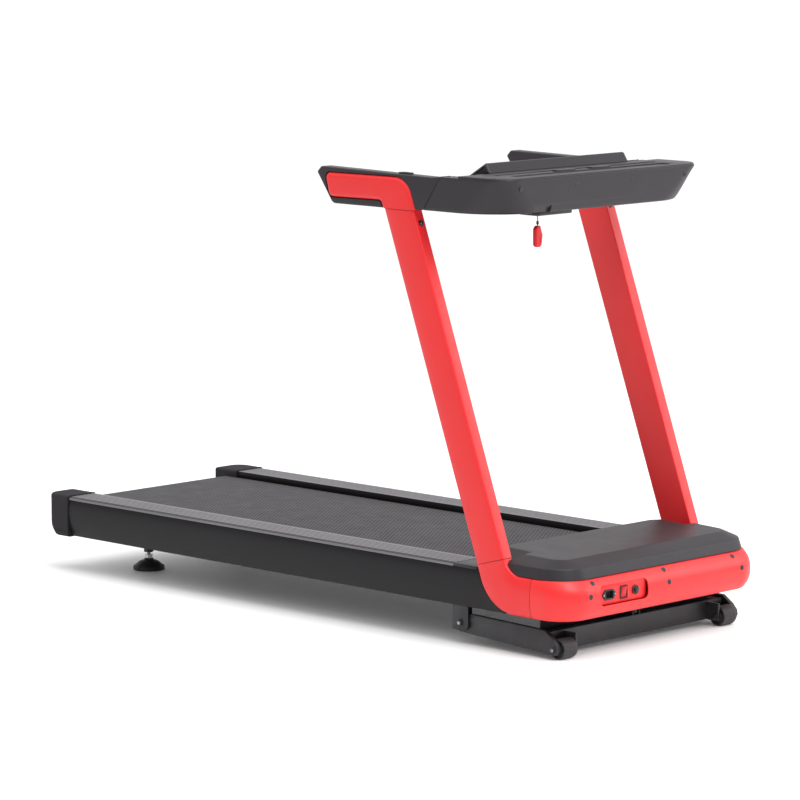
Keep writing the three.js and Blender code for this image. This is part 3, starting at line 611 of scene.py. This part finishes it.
def safety_clip():
    """Flat red clip with an eye at its top and a thumb hollow in its front."""
    rows = [(-11, 939, 8), (9, 939, 8), (13, 968, 5), (9, 978, 4), (5, 989.5, 3),
            (-5, 989.5, 3), (-11, 982, 4)]
    body = slab(rounded(rows, 8), -6, 6, in_end, 3, steps=5)
    turned = ([(KEY_X + x, KEY_Y + y, z) for x, y, z in body[0]], body[1])
    clip = raw("clip_body", turned)
    carve(clip, lathe([(1.6, 983.2), (1.6, 995)], 16, "z", (KEY_X, KEY_Y, 0)),
          slab(rounded([(-5, 946, 3), (4, 946, 3), (6, 962, 3), (-5, 962, 3)], 5), 5.2, 9,
               lambda u, v, a: (KEY_X + a, KEY_Y + u, v)))
    return done(clip, "safety_key", "switch_red", "safety_clip", edge=0.5, angle=40)


cord, cord_length, knot = lanyard()
clip = safety_clip()


# ---- red tube frame ----
def tube_section(width, bulge, radii, wall=0.0):
    """Section of the tube as (distance across, depth) pairs; the outer face is crowned."""
    rows = [(wall, wall, max(0.8, 2.6 - wall))]
    across = [0.0] + [0.16 + 0.68 * k / 10 for k in range(11)] + [1.0]
    for k, s in enumerate(across):
        t = 2 * s - 1
        u = TUBE_DEPTH - bulge[0 if t < 0 else 1] * abs(t) ** 2.4 - wall
        r = 0
        if k in (0, len(across) - 1):
            r = max(0.8, radii[0 if k == 0 else 1] - wall)
        rows.append((wall + s * (width - 2 * wall), max(u, wall + 2), r))
    rows.append((width - wall, wall, max(0.8, 2.6 - wall)))
    return rounded(rows, 6)


def tube_ring(front, rear, bulge, radii, wall=0.0):
    """The tube's section laid from a front point to a rear point of the side view."""
    f, r = Vector(front), Vector(rear)
    width = (r - f).length
    step = (r - f) / width
    return [(f.x + step.x * d, TUBE_IN + u, f.y + step.y * d)
            for d, u in tube_section(width, bulge, radii, wall)]


def upright_form():
    """Leaning tube from just above its hinge line to its top, open inside."""
    top_front = (UPR_FRONT_0 - LEAN * UPR_TOP_Z, UPR_TOP_Z)
    top_rear = (UPR_REAR_0 - LEAN * UPR_TOP_Z, UPR_TOP_Z)
    low_front = (HINGE_FRONT[0], HINGE_FRONT[1] + 1.3)
    low_rear = (HINGE_REAR[0], HINGE_REAR[1] + 1.3)
    rows = ([], [])
    for i in range(9):
        t = i / 8
        f = tuple(Vector(low_front).lerp(Vector(top_front), t))
        r = tuple(Vector(low_rear).lerp(Vector(top_rear), t))
        for out, wall in zip(rows, (0, TUBE_WALL)):
            out.append(tube_ring(f, r, UPR_CROWN, UPR_RADII, wall))
    return loft(*rows)


def bend(start, corner, end, r, steps):
    """A line round one corner."""
    return rounded([(*start, 0), (*corner, r), (*end, 0)], steps)


def elbow_contours(steps=26):
    """Front and rear line of the elbow in side view."""
    top = (ELBOW_END_X, TUBE_HIGH_Z)
    low = (ELBOW_END_X, TUBE_LOW_Z)
    front = bend(HINGE_FRONT, (UPR_FRONT_0 - LEAN * TUBE_HIGH_Z, TUBE_HIGH_Z), top, 50, steps)
    rear = bend(HINGE_REAR, (UPR_REAR_0 - LEAN * TUBE_LOW_Z, TUBE_LOW_Z), low, 112, steps)
    return front, rear


def elbow_form():
    """Tube that turns from the upright's lean to the level bumper."""
    front, rear = elbow_contours()
    rows = ([], [])
    for i, (f, r) in enumerate(zip(front, rear)):
        t = i / (len(front) - 1)
        for out, wall in zip(rows, (0, TUBE_WALL)):
            out.append(tube_ring(f, r, (2 + 6 * t, 5 + 3 * t), (4.5 + 4.5 * t, 10 - t), wall))
    return loft(*rows)


def elbow_envelope():
    """What the elbow takes out of the hood and the rails, with a thin gap all round."""
    front, rear = elbow_contours(12)
    outline = [(x + 0.2, z + 0.9) for x, z in front] + [(ELBOW_END_X + 40, TUBE_HIGH_Z + 0.6),
                                                      (ELBOW_END_X + 40, TUBE_LOW_Z - 1)]
    outline += [(x - 0.6, z - 0.6) for x, z in reversed(rear)]
    return slab(outline, TUBE_IN - 1, TUBE_OUT + 20, in_side)


def bumper_form():
    """The tube carried from one elbow round both corners to the other."""
    cy, cx = TUBE_OUT - BUMPER_R, FRONT_X - BUMPER_R
    path = [(ELBOW_END_X + 1.2, TUBE_OUT, 0, 1)]
    for k in range(25):
        a = math.pi / 2 * (1 - k / 24)
        nx, ny = math.cos(a), math.sin(a)
        path.append((cx + BUMPER_R * nx, cy + BUMPER_R * ny, nx, ny))
    for k in range(1, 10):
        path.append((FRONT_X, cy * (1 - k / 5), 1, 0))
    path += [(x, -y, nx, -ny) for x, y, nx, ny in reversed(path[:26])]
    rows = ([], [])
    for x, y, nx, ny in path:
        for out, wall in zip(rows, (0, TUBE_WALL)):
            section = tube_section(TUBE_HIGH_Z - TUBE_LOW_Z, (8 + 16 * nx, 8 + 12 * nx), BUMPER_RADII, wall)
            out.append([(x + nx * (u - TUBE_DEPTH), y + ny * (u - TUBE_DEPTH), TUBE_HIGH_Z - d)
                        for d, u in section])
    return loft(*rows)


def bumper_face(y, z):
    """Point and outward normal on the bumper's flat front stretch."""
    t = 2 * (TUBE_HIGH_Z - z) / (TUBE_HIGH_Z - TUBE_LOW_Z) - 1
    k = 24 if t < 0 else 20
    slope = k * 2.4 * abs(t) ** 1.4 * (2 / (TUBE_HIGH_Z - TUBE_LOW_Z)) * (1 if t < 0 else -1)
    return Vector((FRONT_X - k * abs(t) ** 2.4, y, z)), Vector((1, 0, slope)).normalized()


def placed(form, point, normal):
    """A form made about the Z axis, stood on a point and turned to face a normal."""
    turn = Vector((0, 0, 1)).rotation_difference(Vector(normal)).to_matrix()
    return [tuple(turn @ Vector(p) + Vector(point)) for p in form[0]], form[1]


def screw_form(r, high, sink=1.0, flats=6):
    """Head of a socket screw: domed rim, round hollow."""
    rim = [(0, -sink), (r * 0.98, -sink), (r, 0), (r * 0.93, high * 0.75), (r * 0.72, high)]
    body = lathe(rim + [(r * 0.5, high), (r * 0.46, high * 0.1), (0, high * 0.1)], 30)
    return body


def screws(name, spots, body, slot, r=4.5, high=1.2, side=1):
    """Screw heads at (point, normal) spots, as one piece."""
    forms = [placed(screw_form(r, high), p, n) for p, n in spots]
    return piece(name, joined(*forms), body, slot, side=side, angle=28)


def seam_liner(name, low, high, body, replaced=(), side=1):
    """Dark gasket that shows as the thin line between two tube pieces; low and high are tube rings."""
    seal = piece(name, loft([low, high]), body, "black_rubber", *replaced, side=side)
    seal.data.materials[0] = FINISHES["gasket"].mat
    return seal


def liners(side, letter):
    """Gaskets in the three seams of one side's tube."""
    f, r = HINGE_FRONT, HINGE_REAR
    inset_by = 0.35
    rings = []
    for lift in (0.1, 1.2):
        rings.append(tube_ring((f[0], f[1] + lift), (r[0], r[1] + lift), UPR_CROWN, UPR_RADII, inset_by))
    seam_liner("hinge_liner_" + letter, *rings, "base", side=side)
    rings = []
    for x in (ELBOW_END_X + 0.1, ELBOW_END_X + 1.1):
        rings.append(tube_ring((x, TUBE_HIGH_Z), (x, TUBE_LOW_Z), BUMPER_CROWN, BUMPER_RADII, inset_by))
    seam_liner("bumper_liner_" + letter, *rings, "base", side=side)
    rings = []
    for z in (UPR_TOP_Z + 0.05, UPR_TOP_Z + 1.1):
        front, rear = (UPR_FRONT_0 - LEAN * z, z), (UPR_REAR_0 - LEAN * z, z)
        rings.append(tube_ring(front, rear, UPR_CROWN, UPR_RADII, inset_by))
    seam_liner("arm_liner_" + letter, *rings, "console", side=side)


def tube_frame():
    """Uprights, elbows and bumper with their seams, bolts and the panel window."""
    for letter, side in SIDES:
        liners(side, letter)
        piece("upright_tube_" + letter, upright_form(), "uprights", "red_paint", "upright_" + letter,
              side=side)
        piece("elbow_tube_" + letter, elbow_form(), "base", "red_paint", "base_elbow_" + letter, side=side)
        x = UPR_FRONT_0 - LEAN * UPR_BOLT_Z
        head = [((x - 0.4, TUBE_IN + 15, UPR_BOLT_Z), (1, 0, LEAN))]
        screws("upright_bolt_" + letter, head, "uprights", "black_steel", 8, 2.4, side)
        screws("upright_pin_" + letter, head, "uprights", "chrome_steel", 3.4, 1.4, side)
    bumper = raw("bumper_shell", bumper_form())
    (y0, y1), (z0, z1) = WINDOW_Y, WINDOW_Z
    window = rounded([(y0, z0, 12), (y1, z0, 12), (y1, z1, 12), (y0, z1, 12)], 8)
    carve(bumper, slab(window, FRONT_X - 22, FRONT_X + 20, in_end))
    done(bumper, "base", "red_plastic", "front_bumper", edge=0.8, steps=3, angle=50)
    spots = [bumper_face(y, 180.5) for y in (-252, 0, 252)] + [bumper_face(y, 152) for y in (-272, 5, 272)]
    screws("bumper_screws", spots, "base", "black_steel", 6.6, 0.5)


# ---- motor hood ----
def hood_ring(z, cut, front_x, rear, half_rear):
    """Plan outline of the hood at a height z(x), drawn in by a cut."""
    r = HOOD_CORNER_R - cut
    half = HOOD_HALF - cut
    wing = HOOD_WING_X + cut
    left = [rear, (rear[0] + 14, half_rear), (wing, half_rear), (wing + 6, half)]
    cx = front_x - r
    for k in range(19):
        a = math.pi / 2 * (1 - k / 18)
        left.append((cx + r * math.cos(a), half - r + r * math.sin(a)))
    ring = left + [(x, -y) for x, y in reversed(left)]
    return [(x, y, z(x)) for x, y in ring]


def hood_form(shrink):
    """Hood from its foot over the crease to the nearly flat top; shrink gives the inside."""
    rear = (HOOD_REAR_X + shrink, 296 - shrink)
    half = HOOD_HALF_REAR - shrink
    top_z = lambda x: HOOD_TOP_Z - HOOD_FALL * (x - HOOD_REAR_X) - shrink
    foot_z = TUBE_HIGH_Z + 0.7 - (4 if shrink else 0)
    foot = hood_ring(lambda x: foot_z, shrink, HOOD_FRONT_X - shrink, rear, half)
    crease = hood_ring(lambda x: HOOD_CREASE_Z - shrink, 4 + shrink, HOOD_FRONT_X - 9 - shrink, rear,
                       half - 2)
    top = hood_ring(top_z, 42 + shrink, HOOD_FRONT_X - 48 - shrink, (rear[0] + 2, 250 - shrink), 274 - shrink)
    heart = [(740 + (x - 740) * 0.9, y * 0.96, top_z(740 + (x - 740) * 0.9)) for x, y, _ in top]
    rings = [foot]
    for before, corner, after, reach in ((foot, crease, top, 0.09), (crease, top, heart, 0.07)):
        for k in range(6):
            t = k / 5
            ring = []
            for b, c, a in zip(before, corner, after):
                b, c, a = Vector(b), Vector(c), Vector(a)
                s = c + (b - c) * reach
                e = c + (a - c) * (reach if after is top else 0.35)
                ring.append(tuple(s * (1 - t) ** 2 + c * 2 * t * (1 - t) + e * t * t))
            rings.append(ring)
    rings.append(heart)
    return loft(rings)


def motor_hood():
    """The hood, hollow, with room left for rails, elbows and uprights."""
    hood = raw("hood_cover", hood_form(0))
    lift = slab([(600, -330), (726, -330), (726, 330), (600, 330)], 150, 198, in_plan)
    leg = slab([(HINGE_REAR[0] - 20, HINGE_REAR[1]), (UPR_FRONT_0 - LEAN * 200 + 1.6, 200),
                (UPR_FRONT_0 + 1.6 - LEAN * 260, 260), (HINGE_REAR[0] - 20, 260)],
               TUBE_IN - 0.6, TUBE_OUT + 26, in_side)
    carve(hood, hood_form(3), lift)
    for _, side in SIDES:
        carve(hood, elbow_envelope(), side=side)
        carve(hood, leg, side=side)
    done(hood, "base", "charcoal_plastic", "motor_hood", angle=30)


# ---- rails, deck and belt ----
def rail_extrusions():
    """Side rails of thin sheet with a crowned outer face, and the ribbed strips laid on them."""
    web = [(342.6, RAIL_TOP_Z), (344.6, 185.2), (345.9, 180), (346.6, 173), (346.9, 164), (346.7, 154),
           (346.1, 143), (344.9, 131), (343, 119.5), (340.3, 108.5), (337.6, 100), (335.2, 94.6),
           (333.4, RAIL_LOW_Z)]
    inner = [(y - 3.4, z) for y, z in reversed(web[1:-2])]
    outline = [(262, RAIL_TOP_Z)] + web + [(266, RAIL_LOW_Z), (266, 96.8)] + inner + [(262, 185)]
    pitch = 74 / RIB_COUNT
    tread = []
    for i in range(RIB_COUNT):
        y = 264 + i * pitch
        end = y + pitch - RIB_GAP
        tread += [(y, GROOVE_Z, 0.4), (y + 1, RIB_TOP_Z, 0.7)]
        tread += [(end - 1, RIB_TOP_Z, 0.7), (end, GROOVE_Z, 0.4)]
    strip = [(STRIP_IN_Y, 178, 0.8), (STRIP_IN_Y, RIB_TOP_Z, 1.2), (262.6, RIB_TOP_Z, 0.7)] + tread
    strip += [(341, 196.6, 0.6), (344.2, 193.4, 1.5), (345, 188.7, 0.4), (260, 188.7, 0), (260, 178, 0.6)]
    opening = slab([(632, 110), (700, 110), (700, 200), (632, 200)], 250, 330, in_side)
    for letter, side in SIDES:
        rail = raw("rail_beam_" + letter, slab(outline, RAIL_REAR_X, RAIL_FRONT_X, in_end), side)
        carve(rail, elbow_envelope(), opening, side=side)
        done(rail, "base", "rail_metal", "side_rail_" + letter, angle=24)
        grip = slab(rounded(strip, 2), RAIL_REAR_X + 0.2, STRIP_FRONT_X, in_end)
        piece("tread_strip_" + letter, grip, "base", "ribbed_strip", "foot_strip_" + letter, side=side,
              angle=50)


def cap_heel(z):
    """How far the cap's rear face draws in near its lower edge."""
    return 24 * max(0, 1 - (z - CAP_LOW_Z) / 36) ** 2.4


def layered(outline, levels):
    """End cap: plan outlines stacked over its height, drawn in at the heel and rounded at top and bottom."""
    rows = []
    for k in range(7):
        t = math.pi / 2 * k / 6
        rows.append((CAP_LOW_Z + 5 * (1 - math.cos(t)), 5 * (1 - math.sin(t))))
    rows += [(z, 0) for z in levels if 98 < z < 191]
    for k in range(7):
        t = math.pi / 2 * k / 6
        rows.append((CAP_HIGH_Z - 7 * (1 - math.sin(t)), 7 * (1 - math.cos(t))))
    rings = []
    for z, d in rows:
        line = inset(outline, d) if d else outline
        span = CAP_FRONT_X - REAR_X
        rings.append([(x + cap_heel(z) * max(0, 1 - (x - REAR_X) / span), y, z) for x, y in line])
    return loft(rings)


def end_caps():
    """Rear caps with a groove line near the foot, and the proud black gasket in front of each."""
    rows = [(REAR_X, 253, 10), (CAP_FRONT_X, 253, 0), (CAP_FRONT_X, 348, 0), (REAR_X, 348, 38)]
    levels = [CAP_LOW_Z + 6 + (CAP_HIGH_Z - 13 - CAP_LOW_Z) * k / 9 for k in range(10)]
    for letter, side in SIDES:
        cap = raw("rail_end_" + letter, layered(rounded(rows, 14), levels), side)
        groove = [(REAR_X - 5, 105.5), (-838, 105.5), (-838, 106.5), (REAR_X - 5, 106.5)]
        carve(cap, slab(groove, 346.8, 360, in_side), side=side)
        done(cap, "base", "charcoal_plastic", "end_cap_" + letter, angle=28)
        cap.data.materials[0] = FINISHES["cap_plastic"].mat
        lip = rounded([(253.4, 91.4, 4), (349.4, 91.4, 7), (349.4, 199.6, 7), (253.4, 199.6, 4)], 5)
        gasket = slab(lip, CAP_FRONT_X + 0.2, RAIL_REAR_X - 0.2, in_end, 0.5, steps=2)
        seal = piece("rail_gasket_" + letter, gasket, "base", "black_rubber", "end_gasket_" + letter,
                     side=side)
        seal.data.materials[0] = FINISHES["gasket"].mat


def belt_form():
    """Closed belt round both rollers, its edges slightly rounded."""
    forms = []
    for r in (BELT_R, BELT_R - BELT_THICK):
        loop = []
        for k in range(25):
            a = -math.pi / 2 + math.pi * k / 24
            loop.append((ROLLER_FRONT_X + r * math.cos(a), ROLLER_Z + r * math.sin(a)))
        for k in range(25):
            a = math.pi / 2 + math.pi * k / 24
            loop.append((ROLLER_REAR_X + r * math.cos(a), ROLLER_Z + r * math.sin(a)))
        forms.append(loop)
    outer, inner = forms
    rings = []
    edge = ((BELT_HALF - 2, 0), (BELT_HALF - 0.6, 0.1), (BELT_HALF, 0.5))
    for y, t in [(-y, t) for y, t in reversed(edge)] + list(edge):
        rings.append([(x, y, z) for x, z in inset(outer, t)])
    for y, t in ((BELT_HALF, 0.5), (BELT_HALF - 2, 0), (2 - BELT_HALF, 0), (-BELT_HALF, 0.5)):
        rings.append([(x, y, z) for x, z in inset(inner, -t)])
    return loft(rings, loop=True)


# ---- wheels and feet ----
def wheels():
    """Rubber wheels on a bored hub with five round hollows and fine grooves round the tread."""
    for letter, side in SIDES:
        w = WHEEL_W
        half = [(6.5, 3), (7.5, 2), (11.5, 2), (12.5, 3), (13, 6), (17.5, 6.5), (18.5, 5.5), (19, 2.6),
                (20.5, 1), (22.5, 0.3), (23.8, 1), (24.4, 3)]
        rows = half[:]
        for k in range(1, 6):
            at = 3 + (w - 6) * k / 6
            rows += [(24.5, at - 0.9), (24.1, at - 0.5), (24.1, at + 0.5), (24.5, at + 0.9)]
        rows += [(r, w - h) for r, h in reversed(half)]
        form = lathe(rows, 56, "y", (WHEEL_X, WHEEL_OUT - w, WHEEL_R), True)
        wheel = raw("wheel_tyre_" + letter, form, side)
        bores = []
        for k in range(5):
            a = 2 * math.pi * k / 5
            at = (WHEEL_X + 15.2 * math.cos(a), WHEEL_OUT - 8, WHEEL_R + 15.2 * math.sin(a))
            bores.append(lathe([(1.9, 0), (1.9, 12)], 14, "y", at))
        carve(wheel, *bores, side=side)
        done(wheel, "wheel_" + letter + "_body", "black_rubber", "wheel_" + letter, angle=35)


def feet():
    """Levelling feet: domed rubber pad, plated threaded rod and lock nut, and a black nut."""
    pad = [(0, 0), (39, 0), (40.6, 0.8), (41, 2.5), (41, 8), (40.3, 10.2), (38.5, 11.6), (33, 14.8),
           (28.5, 19), (26, 21.3), (20, 24), (13.5, 26), (12, 27.2), (12, 29), (5.6, 29), (5.6, 10), (0, 10)]
    stem = [(0, 10.4), (5.2, 10.4), (5.2, 30)]
    z = 31.0
    thread = []
    while z < 114:
        thread += [(5.2, z), (4.5, z + 0.8)]
        z += 1.6
    for letter, side in SIDES:
        piece("foot_cup_" + letter, lathe(pad, 56, "z", (FOOT_X, FOOT_Y, 0)), "foot_" + letter,
              "black_rubber", "foot_pad_" + letter, side=side, angle=28)
        rod = lathe(stem + thread + [(5.2, 118), (4.2, 119), (0, 119)], 32, "z", (FOOT_X, FOOT_Y, 0))
        piece("foot_rod_" + letter, rod, "foot_" + letter, "chrome_steel", "foot_stem_" + letter, side=side,
              angle=25)
        nut = lathe([(4.4, 46), (11.5, 46), (13, 46.8), (13, 55.2), (11.5, 56), (4.4, 56)], 6, "z",
                    (FOOT_X, FOOT_Y, 0))
        piece("foot_nut_" + letter, nut, "foot_" + letter, "black_steel", side=side, edge=0.4, angle=25)
        lock = lathe([(5.3, 29.4), (8.8, 29.4), (10, 30.2), (10, 40.2), (8.8, 41), (5.3, 41)], 6, "z",
                     (FOOT_X, FOOT_Y, 0))
        piece("foot_lock_" + letter, lock, "foot_" + letter, "chrome_steel", side=side, edge=0.4, angle=25)


# ---- console and handles ----
def console_ring(z, t, grow=0.0, steps=18):
    """Plan outline of the console, from its foot at t = 0 to its rim at t = 1."""
    cut = 4 * (1 - t) - grow
    front = 690 + 18 * t + grow
    seam = 446 + 60 * (z - CON_BOTTOM) / (CON_TOP - CON_BOTTOM)
    half = 357 - cut
    r = 132 + (58 - 132) * t
    left = [(418, 313), (seam, 313), (seam + 1, half)]
    for k in range(steps + 1):
        a = math.pi / 2 * (1 - k / steps)
        left.append((front - r + r * math.cos(a), half - r + r * math.sin(a)))
    ring = left + [(x, -y) for x, y in reversed(left)]
    return [(x, y, z) for x, y in ring]


def console():
    """Console shell with its sloped user side, the notch below its front and four screws."""
    rings = []
    for z, t, grow in ((1026, 0, -4), (1026.6, 0, -2.2), (1028, 0.01, -0.8), (1031, 0.04, 0), (1036, 0.12, 0),
                       (1050, 0.3, 0), (1067, 0.5, 0), (1088, 0.75, 0), (1104, 0.96, 0), (1107, 0.99, -0.3),
                       (1108, 1, -1)):
        rings.append(console_ring(z, t, grow))
    shell = raw("console_body", loft(rings))
    slope = slab([(380, 1030), (418, 1034), (557, 1105), (557, 1140), (380, 1140)], -313.6, 313.6, in_side)
    notch = slab([(660, 1010), (720, 1010), (720, 1052), (702, 1052)], -236, -176, in_side)
    carve(shell, slope, notch)
    done(shell, "console", "charcoal_plastic", "console_shell", edge=0.8, steps=2, angle=42)
    spots = []
    for y in (-291, -97, 97, 291):
        spots.append(((708.2 - 18 * (1108 - 1087) / 82, y, 1087), (1, 0, -0.2)))
    screws("console_screws", spots, "console", "black_steel", 5.6, 0.6)


def handle_outline():
    """Side view of the charcoal shell."""
    return rounded([(88, 1097, 5), (102, 1111, 9), (470, 1105, 0), (504.6, 1109, 0),
                    (444.6, 1028, 0), (418, 1023.4, 0), (141, 1023.4, 18)], 10)


def arm_outline(grow, low=1023):
    """Side view of the red arm that runs from the upright to the grip."""
    foot = (1023 - low) * LEAN
    return rounded([(114 - grow, 1099 + grow, 15), (392 + grow, 1101 + grow, 58),
                    (420 + grow + foot, low, 0), (311 - grow + foot, low, 0),
                    (304 - grow, 1040 - grow, 12), (130 - grow, 1038 - grow, 17)], 12)


def handles():
    """Handle shells, the red arms let into them and the buttons on top."""
    button = rounded([(351.5, 325.5, 5), (392.5, 325.5, 5), (392.5, 342.5, 5), (351.5, 342.5, 5)], 6)
    for letter, side in SIDES:
        body = slab(handle_outline(), HANDLE_IN, HANDLE_OUT, in_side, 4.5, steps=5)
        shell = raw("grip_shell_" + letter, body, side)
        carve(shell, slab(arm_outline(0.6), HANDLE_IN + 5, HANDLE_OUT + 20, in_side),
              slab(button, 1103.2, 1120, in_plan), side=side)
        done(shell, "console", "charcoal_plastic", "handle_shell_" + letter, edge=0.5, steps=2, angle=45)
        body = slab(arm_outline(0, 990), HANDLE_IN + 5.5, TUBE_OUT + 1.4, in_side, 2, 12.5, steps=9)
        arm = raw("grip_arm_" + letter, body, side)
        carve(arm, slab([(250, 900), (500, 900), (500, 1023.2), (250, 1023.2)], 300, 380, in_side), side=side)
        done(arm, "console", "red_paint", "handle_arm_" + letter, angle=35)
        cap = slab(inset(button, 0.6), 1105.4, 1110.4, in_plan, 1.2, steps=4)
        ridges = []
        for k in range(5):
            x = 362 + 4.4 * k
            bar = [(x, 328.5, 0.6), (x + 1.6, 328.5, 0.6), (x + 1.6, 339.5, 0.6), (x, 339.5, 0.6)]
            ridges.append(slab(rounded(bar, 3), 1110, 1110.9, in_plan))
        piece("grip_button_" + letter, joined(cap, *ridges), "button_" + letter, "black_plastic",
              "handle_button_" + letter, side=side)


def display():
    """Wedge behind the display window."""
    outline = rounded([(561.5, 1113.8, 0), (546, 1138, 6), (436, 1072, 5), (430, 1047.4, 0)], 8)
    piece("display_hump", slab(outline, -248, 248, in_side, 9, steps=6), "console", "charcoal_plastic",
          "display_housing", angle=30)


# ---- power panel ----
def power_fittings():
    """Screws, bezel and collar on the power panel, and washers on the lift frame's bolts."""
    px, pz = PANEL_X, PANEL_Z
    spots = [((px + 3, -201 + s * 19.5, pz), (1, 0, 0)) for s in (-1, 1)]
    screws("inlet_screws", spots, "base", "roller_steel", 2.2, 0.7)
    frame_out = rounded([(-162, 132, 2.5), (-136, 132, 2.5), (-136, 164, 2.5), (-162, 164, 2.5)], 5)
    frame_in = rounded([(-159.4, 134, 1), (-138.6, 134, 1), (-138.6, 162, 1), (-159.4, 162, 1)], 4)
    bezel = raw("switch_bezel", slab(frame_out, px + 0.1, px + 2.2, in_end, 0.6, steps=3))
    carve(bezel, slab(frame_in, px - 5, px + 8, in_end))
    done(bezel, "base", "black_plastic", angle=35)
    rows = [(6.4, 0.1), (10.6, 0.1), (11, 0.6), (11, 2.6), (10.2, 3.4), (7.4, 3.4), (6.6, 2.8)]
    piece("breaker_collar", lathe(rows, 36, "x", (px, -108, pz), True), "base", "black_plastic", angle=35)
    for letter, side in SIDES:
        pivot, axle = ((PIVOT_X, 335.1, PIVOT_Z), (0, 1, 0)), ((WHEEL_X, 328.7, WHEEL_R), (0, 1, 0))
        screws("pivot_washer_" + letter, [pivot], "base", "roller_steel", 4.2, 1.0, side)
        screws("axle_washer_" + letter, [axle], "incline_arm", "roller_steel", 4.0, 1.0, side)


def carried_nodes():
    """Nodes whose CAD shape is final get welded, rounded edges and their slot's finish."""
    slots = {p["node"]: p["material_slot"] for p in frame["record"]["subparts"]}
    for name, obj in frame["nodes"].items():
        if obj.hide_render:
            continue
        obj.data.materials.clear()
        obj.data.materials.append(FINISHES[slots[name]].mat)
        weld = obj.modifiers.new("weld", "WELD")
        weld.merge_threshold = 2e-5
        smooth(obj, 30)
        fine = any(word in name for word in ("key", "inlet", "strip"))
        soften(obj, 0.35 if fine else 0.7, 2, 35)


# ---- studio ----
def studio_floor():
    """Plain pale floor, a little brighter than its light so that the shadow stays soft."""
    mesh = bpy.data.meshes.new("studio_floor")
    s = 220
    mesh.from_pydata([(-s, -s, 0), (s, -s, 0), (s, s, 0), (-s, s, 0)], [], [(0, 1, 2, 3)])
    floor = bpy.data.objects.new("studio_floor", mesh)
    bpy.context.scene.collection.objects.link(floor)
    f = Finish("studio_white", (0.93, 0.93, 0.93, 1), 0.9, 0, 0.1).colour(0.004, 0.4, 0.001, 40)
    f.shader.inputs["Emission Color"].default_value = (1, 0.98, 0.98, 1)
    f.shader.inputs["Emission Strength"].default_value = 0.05
    mesh.materials.append(f.mat)


def sky():
    """Soft light that grows towards the zenith, with a white backdrop behind the object."""
    world = bpy.data.worlds.new("studio")
    bpy.context.scene.world = world
    world.use_nodes = True
    tree = world.node_tree
    back = tree.nodes["Background"]
    place = tree.nodes.new("ShaderNodeTexCoord").outputs["Generated"]
    split = tree.nodes.new("ShaderNodeSeparateXYZ")
    tree.links.new(place, split.inputs[0])
    ramp = tree.nodes.new("ShaderNodeValToRGB")
    tree.links.new(split.outputs["Z"], ramp.inputs["Fac"])
    stops = ramp.color_ramp.elements
    stops[0].position = 0.0
    stops[0].color = (0.26, 0.26, 0.26, 1)
    stops[1].position = 0.55
    stops[1].color = (0.9, 0.9, 0.9, 1)
    middle = stops.new(0.22)
    middle.color = (0.34, 0.34, 0.34, 1)
    stops.new(1.0).color = (1, 1, 1, 1)
    toward = tree.nodes.new("ShaderNodeVectorMath")
    toward.operation = "DOT_PRODUCT"
    toward.inputs[1].default_value = (-0.7, 0.71, 0)
    tree.links.new(place, toward.inputs[0])
    backdrop = tree.nodes.new("ShaderNodeMapRange")
    backdrop.inputs["From Min"].default_value = -0.1
    backdrop.inputs["From Max"].default_value = 0.6
    tree.links.new(toward.outputs["Value"], backdrop.inputs["Value"])
    mix = tree.nodes.new("ShaderNodeMix")
    mix.data_type = "RGBA"
    mix.inputs[7].default_value = (1, 1, 1, 1)
    tree.links.new(backdrop.outputs["Result"], mix.inputs["Factor"])
    tree.links.new(ramp.outputs["Color"], mix.inputs[6])
    tree.links.new(mix.outputs[2], back.inputs["Color"])
    back.inputs["Strength"].default_value = 1.0


def lamps():
    """Soft key from the front right, weak side, top and front fills, and a wide sun."""
    for name, at, power, size in (
        ("key", (3.8, -0.7, 4.3), 130, 2.4),
        ("side", (-1.6, -5.0, 3.2), 6, 2.4),
        ("top", (0.2, 0.2, 4.2), 55, 3.0),
        ("front", (3.3, 3.6, 2.1), 65, 2.6),
    ):
        data = bpy.data.lights.new(name, "AREA")
        data.energy = power
        data.size = size
        light = bpy.data.objects.new(name, data)
        light.location = at
        aim = Vector((0, 0, 0.5)) - Vector(at)
        light.rotation_euler = aim.to_track_quat("-Z", "Y").to_euler()
        bpy.context.scene.collection.objects.link(light)
    sun = bpy.data.lights.new("sky", "SUN")
    sun.energy = 0.62
    sun.angle = math.radians(70)
    lamp = bpy.data.objects.new("sky", sun)
    lamp.rotation_euler = (math.radians(6), math.radians(18), 0)
    bpy.context.scene.collection.objects.link(lamp)


tube_frame()
rail_extrusions()
motor_hood()
end_caps()
piece("walking_belt", belt_form(), "base", "belt_rubber", "running_belt", angle=40)
wheels()
feet()
console()
handles()
display()
power_fittings()
carried_nodes()
studio_floor()
sky()
lamps()
bpy.context.scene.view_settings.view_transform = "Standard"
